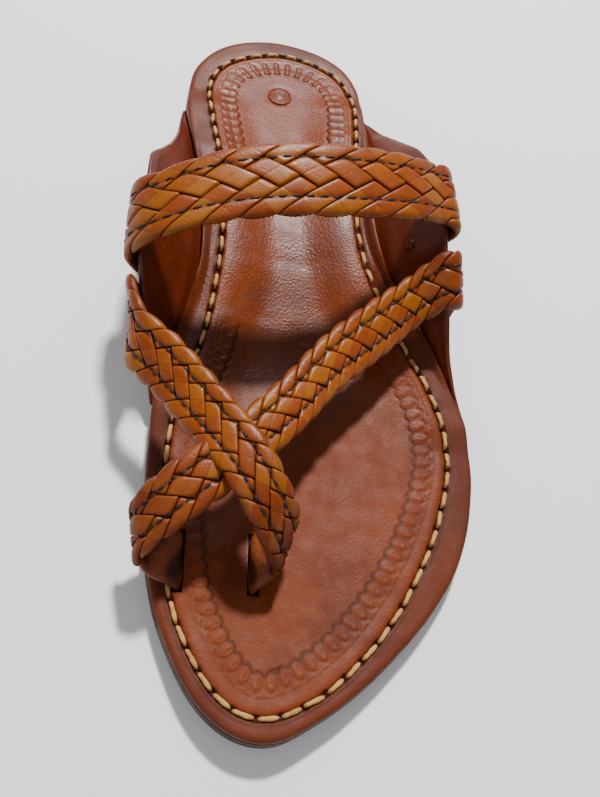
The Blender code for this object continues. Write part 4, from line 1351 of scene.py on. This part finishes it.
def make_plait(name, sheet, width, end, strands, pitch, over, line, thread_pitch, lean, node):
    """A plaited strap on its path, up to end as a share, with a thread on either side at line mm
    from its middle. lean is -1 where the strips on top at the edges run the other way."""
    span = end * sheet[2] * 1000
    points, faces, tints, tones = plait_strips(width, span, strands, pitch, over)
    points[:, 1] *= lean
    mesh = trim(points, faces, tints, tones, span)
    co = np.zeros(len(mesh.vertices) * 3)
    mesh.vertices.foreach_get("co", co)
    co = co.reshape(-1, 3)
    tint = np.zeros(len(co), dtype=np.float32)
    mesh.attributes["relief"].data.foreach_get("value", tint)
    # Each thread line is pressed into the strips, and painted shade darkens it.
    for v in (-line, line):
        press = valley(co[:, 1] - v, LINE_WIDTH) * (co[:, 2] > 0)
        co[:, 2] -= LINE_DEPTH * press
        tint = np.minimum(tint, -0.75 * press ** 2)
    mesh.attributes["relief"].data.foreach_set("value", tint.astype(np.float32))
    mesh.vertices.foreach_set("co", co.ravel())
    share = np.clip(co[:, 0] / span, 0, 1) * 2 - 1
    worn_edge = 0.5 * (np.abs(co[:, 1]) / (width / 2)) ** 6
    store(mesh, "margin", np.clip(np.abs(share) ** 3 + worn_edge, 0, 1))
    mesh.update()
    flat = bpy.data.objects.new("flat", mesh)
    bpy.context.scene.collection.objects.link(flat)
    tree = BVHTree.FromObject(flat, bpy.context.evaluated_depsgraph_get())
    bpy.data.objects.remove(flat)
    threads = []
    for v in (-line, line):
        for k in range(int(span / thread_pitch)):
            centre = (k + 0.5) * thread_pitch + chance.normal(0, 0.08)
            path = []
            for share in np.linspace(-1, 1, 7):
                s = centre + share * thread_pitch * 0.33
                sway = v + chance.normal(0, 0.04)
                level = drop_on(tree, s, sway, 9) or 1.4
                path.append((s, sway, level + THREAD_RISE - THREAD_DIP * abs(share) ** 4))
            threads.append(tube(path, np.full(7, THREAD_RADIUS), 7))
    mesh.vertices.foreach_set("co", lay(co, width, sheet).ravel())
    settle(finish_piece(name, mesh, STRIP_LEATHER, 60), "strap_leather", node)
    points, faces = gather(threads)
    settle(new_piece(name + "_thread", lay(points, width, sheet), faces, THREAD), "strap_leather")


# %% Instep strap
instep_rows = over_ear(*INSTEP_OUTER_END) + free_rows(INSTEP_STRAP, INSTEP_HEIGHT)
instep_rows += over_ear(*INSTEP_INNER_END)[::-1]
make_plait("instep_plait", strap_sheet(instep_rows), 23.0, 1.0, 6, 11.6, (1, 0, 0, 1, 1),
           6.2, 4.2, 1, "instep_strap")

# %% Toe straps
inner_sheet = strap_sheet(over_ear(*TOE_INNER_END) + free_rows(INNER_TOE_STRAP, TOE_STRAP_HEIGHT)
                          + into_slit(-SLIT_OUTER, 1))
outer_sheet = strap_sheet(over_ear(*TOE_OUTER_END) + free_rows(OUTER_TOE_STRAP, TOE_STRAP_HEIGHT)
                          + into_slit(-SLIT_INNER, -1))
for name, sheet, end, lean in (("inner_toe_plait", inner_sheet, 0.86, -1),
                               ("outer_toe_plait", outer_sheet, 0.88, 1)):
    make_plait(name, sheet, 15.5, end, 5, 7.6, (1, 0, 0, 1), 3.3, 2.9, lean, "toe_straps")

# %% Tabs of the toe loop
TAB_STEPS = 70
TAB_ACROSS = 16


def make_tab(name, sheet, start):
    """The plain folded end of a toe strap, from inside its plait down into its slit."""
    points, marks = [], []
    for i in range(TAB_STEPS + 1):
        share = start + (1 - start) * i / TAB_STEPS
        narrow = 1 - 0.16 * (1 - i / TAB_STEPS)
        for face in (1, -1):
            order = np.linspace(-face, face, TAB_ACROSS)
            crease = np.sin(95 * share + 1.3 * order + 0.8 * np.sin(3 * order)) * (1 - order ** 2)
            # The stored relief paints shade over the whole tab, which lies in shade, darker in each
            # crease's trough and lighter on its crest.
            marks.append(0.5 * crease - 0.2)
            lift = face * (TAB_THICK * 500 * (1 - 0.75 * np.abs(order) ** 8) + 0.14 * crease)
            along = np.full(TAB_ACROSS, share * sheet[2] * 1000)
            flat = np.column_stack([along, order * narrow, lift - (STRAP_THICK - TAB_THICK) * 500])
            points.append(lay(flat, 2.0, sheet))
    faces = ring_faces(TAB_STEPS + 1, 2 * TAB_ACROSS, True, True)
    tab = new_piece(name, np.vstack(points), faces, TAB_LEATHER, 60)
    store(tab.data, "relief", np.concatenate(marks))
    settle(tab, "strap_leather")


make_tab("toe_tab_outer_slit", inner_sheet, 0.84)
make_tab("toe_tab_inner_slit", outer_sheet, 0.86)
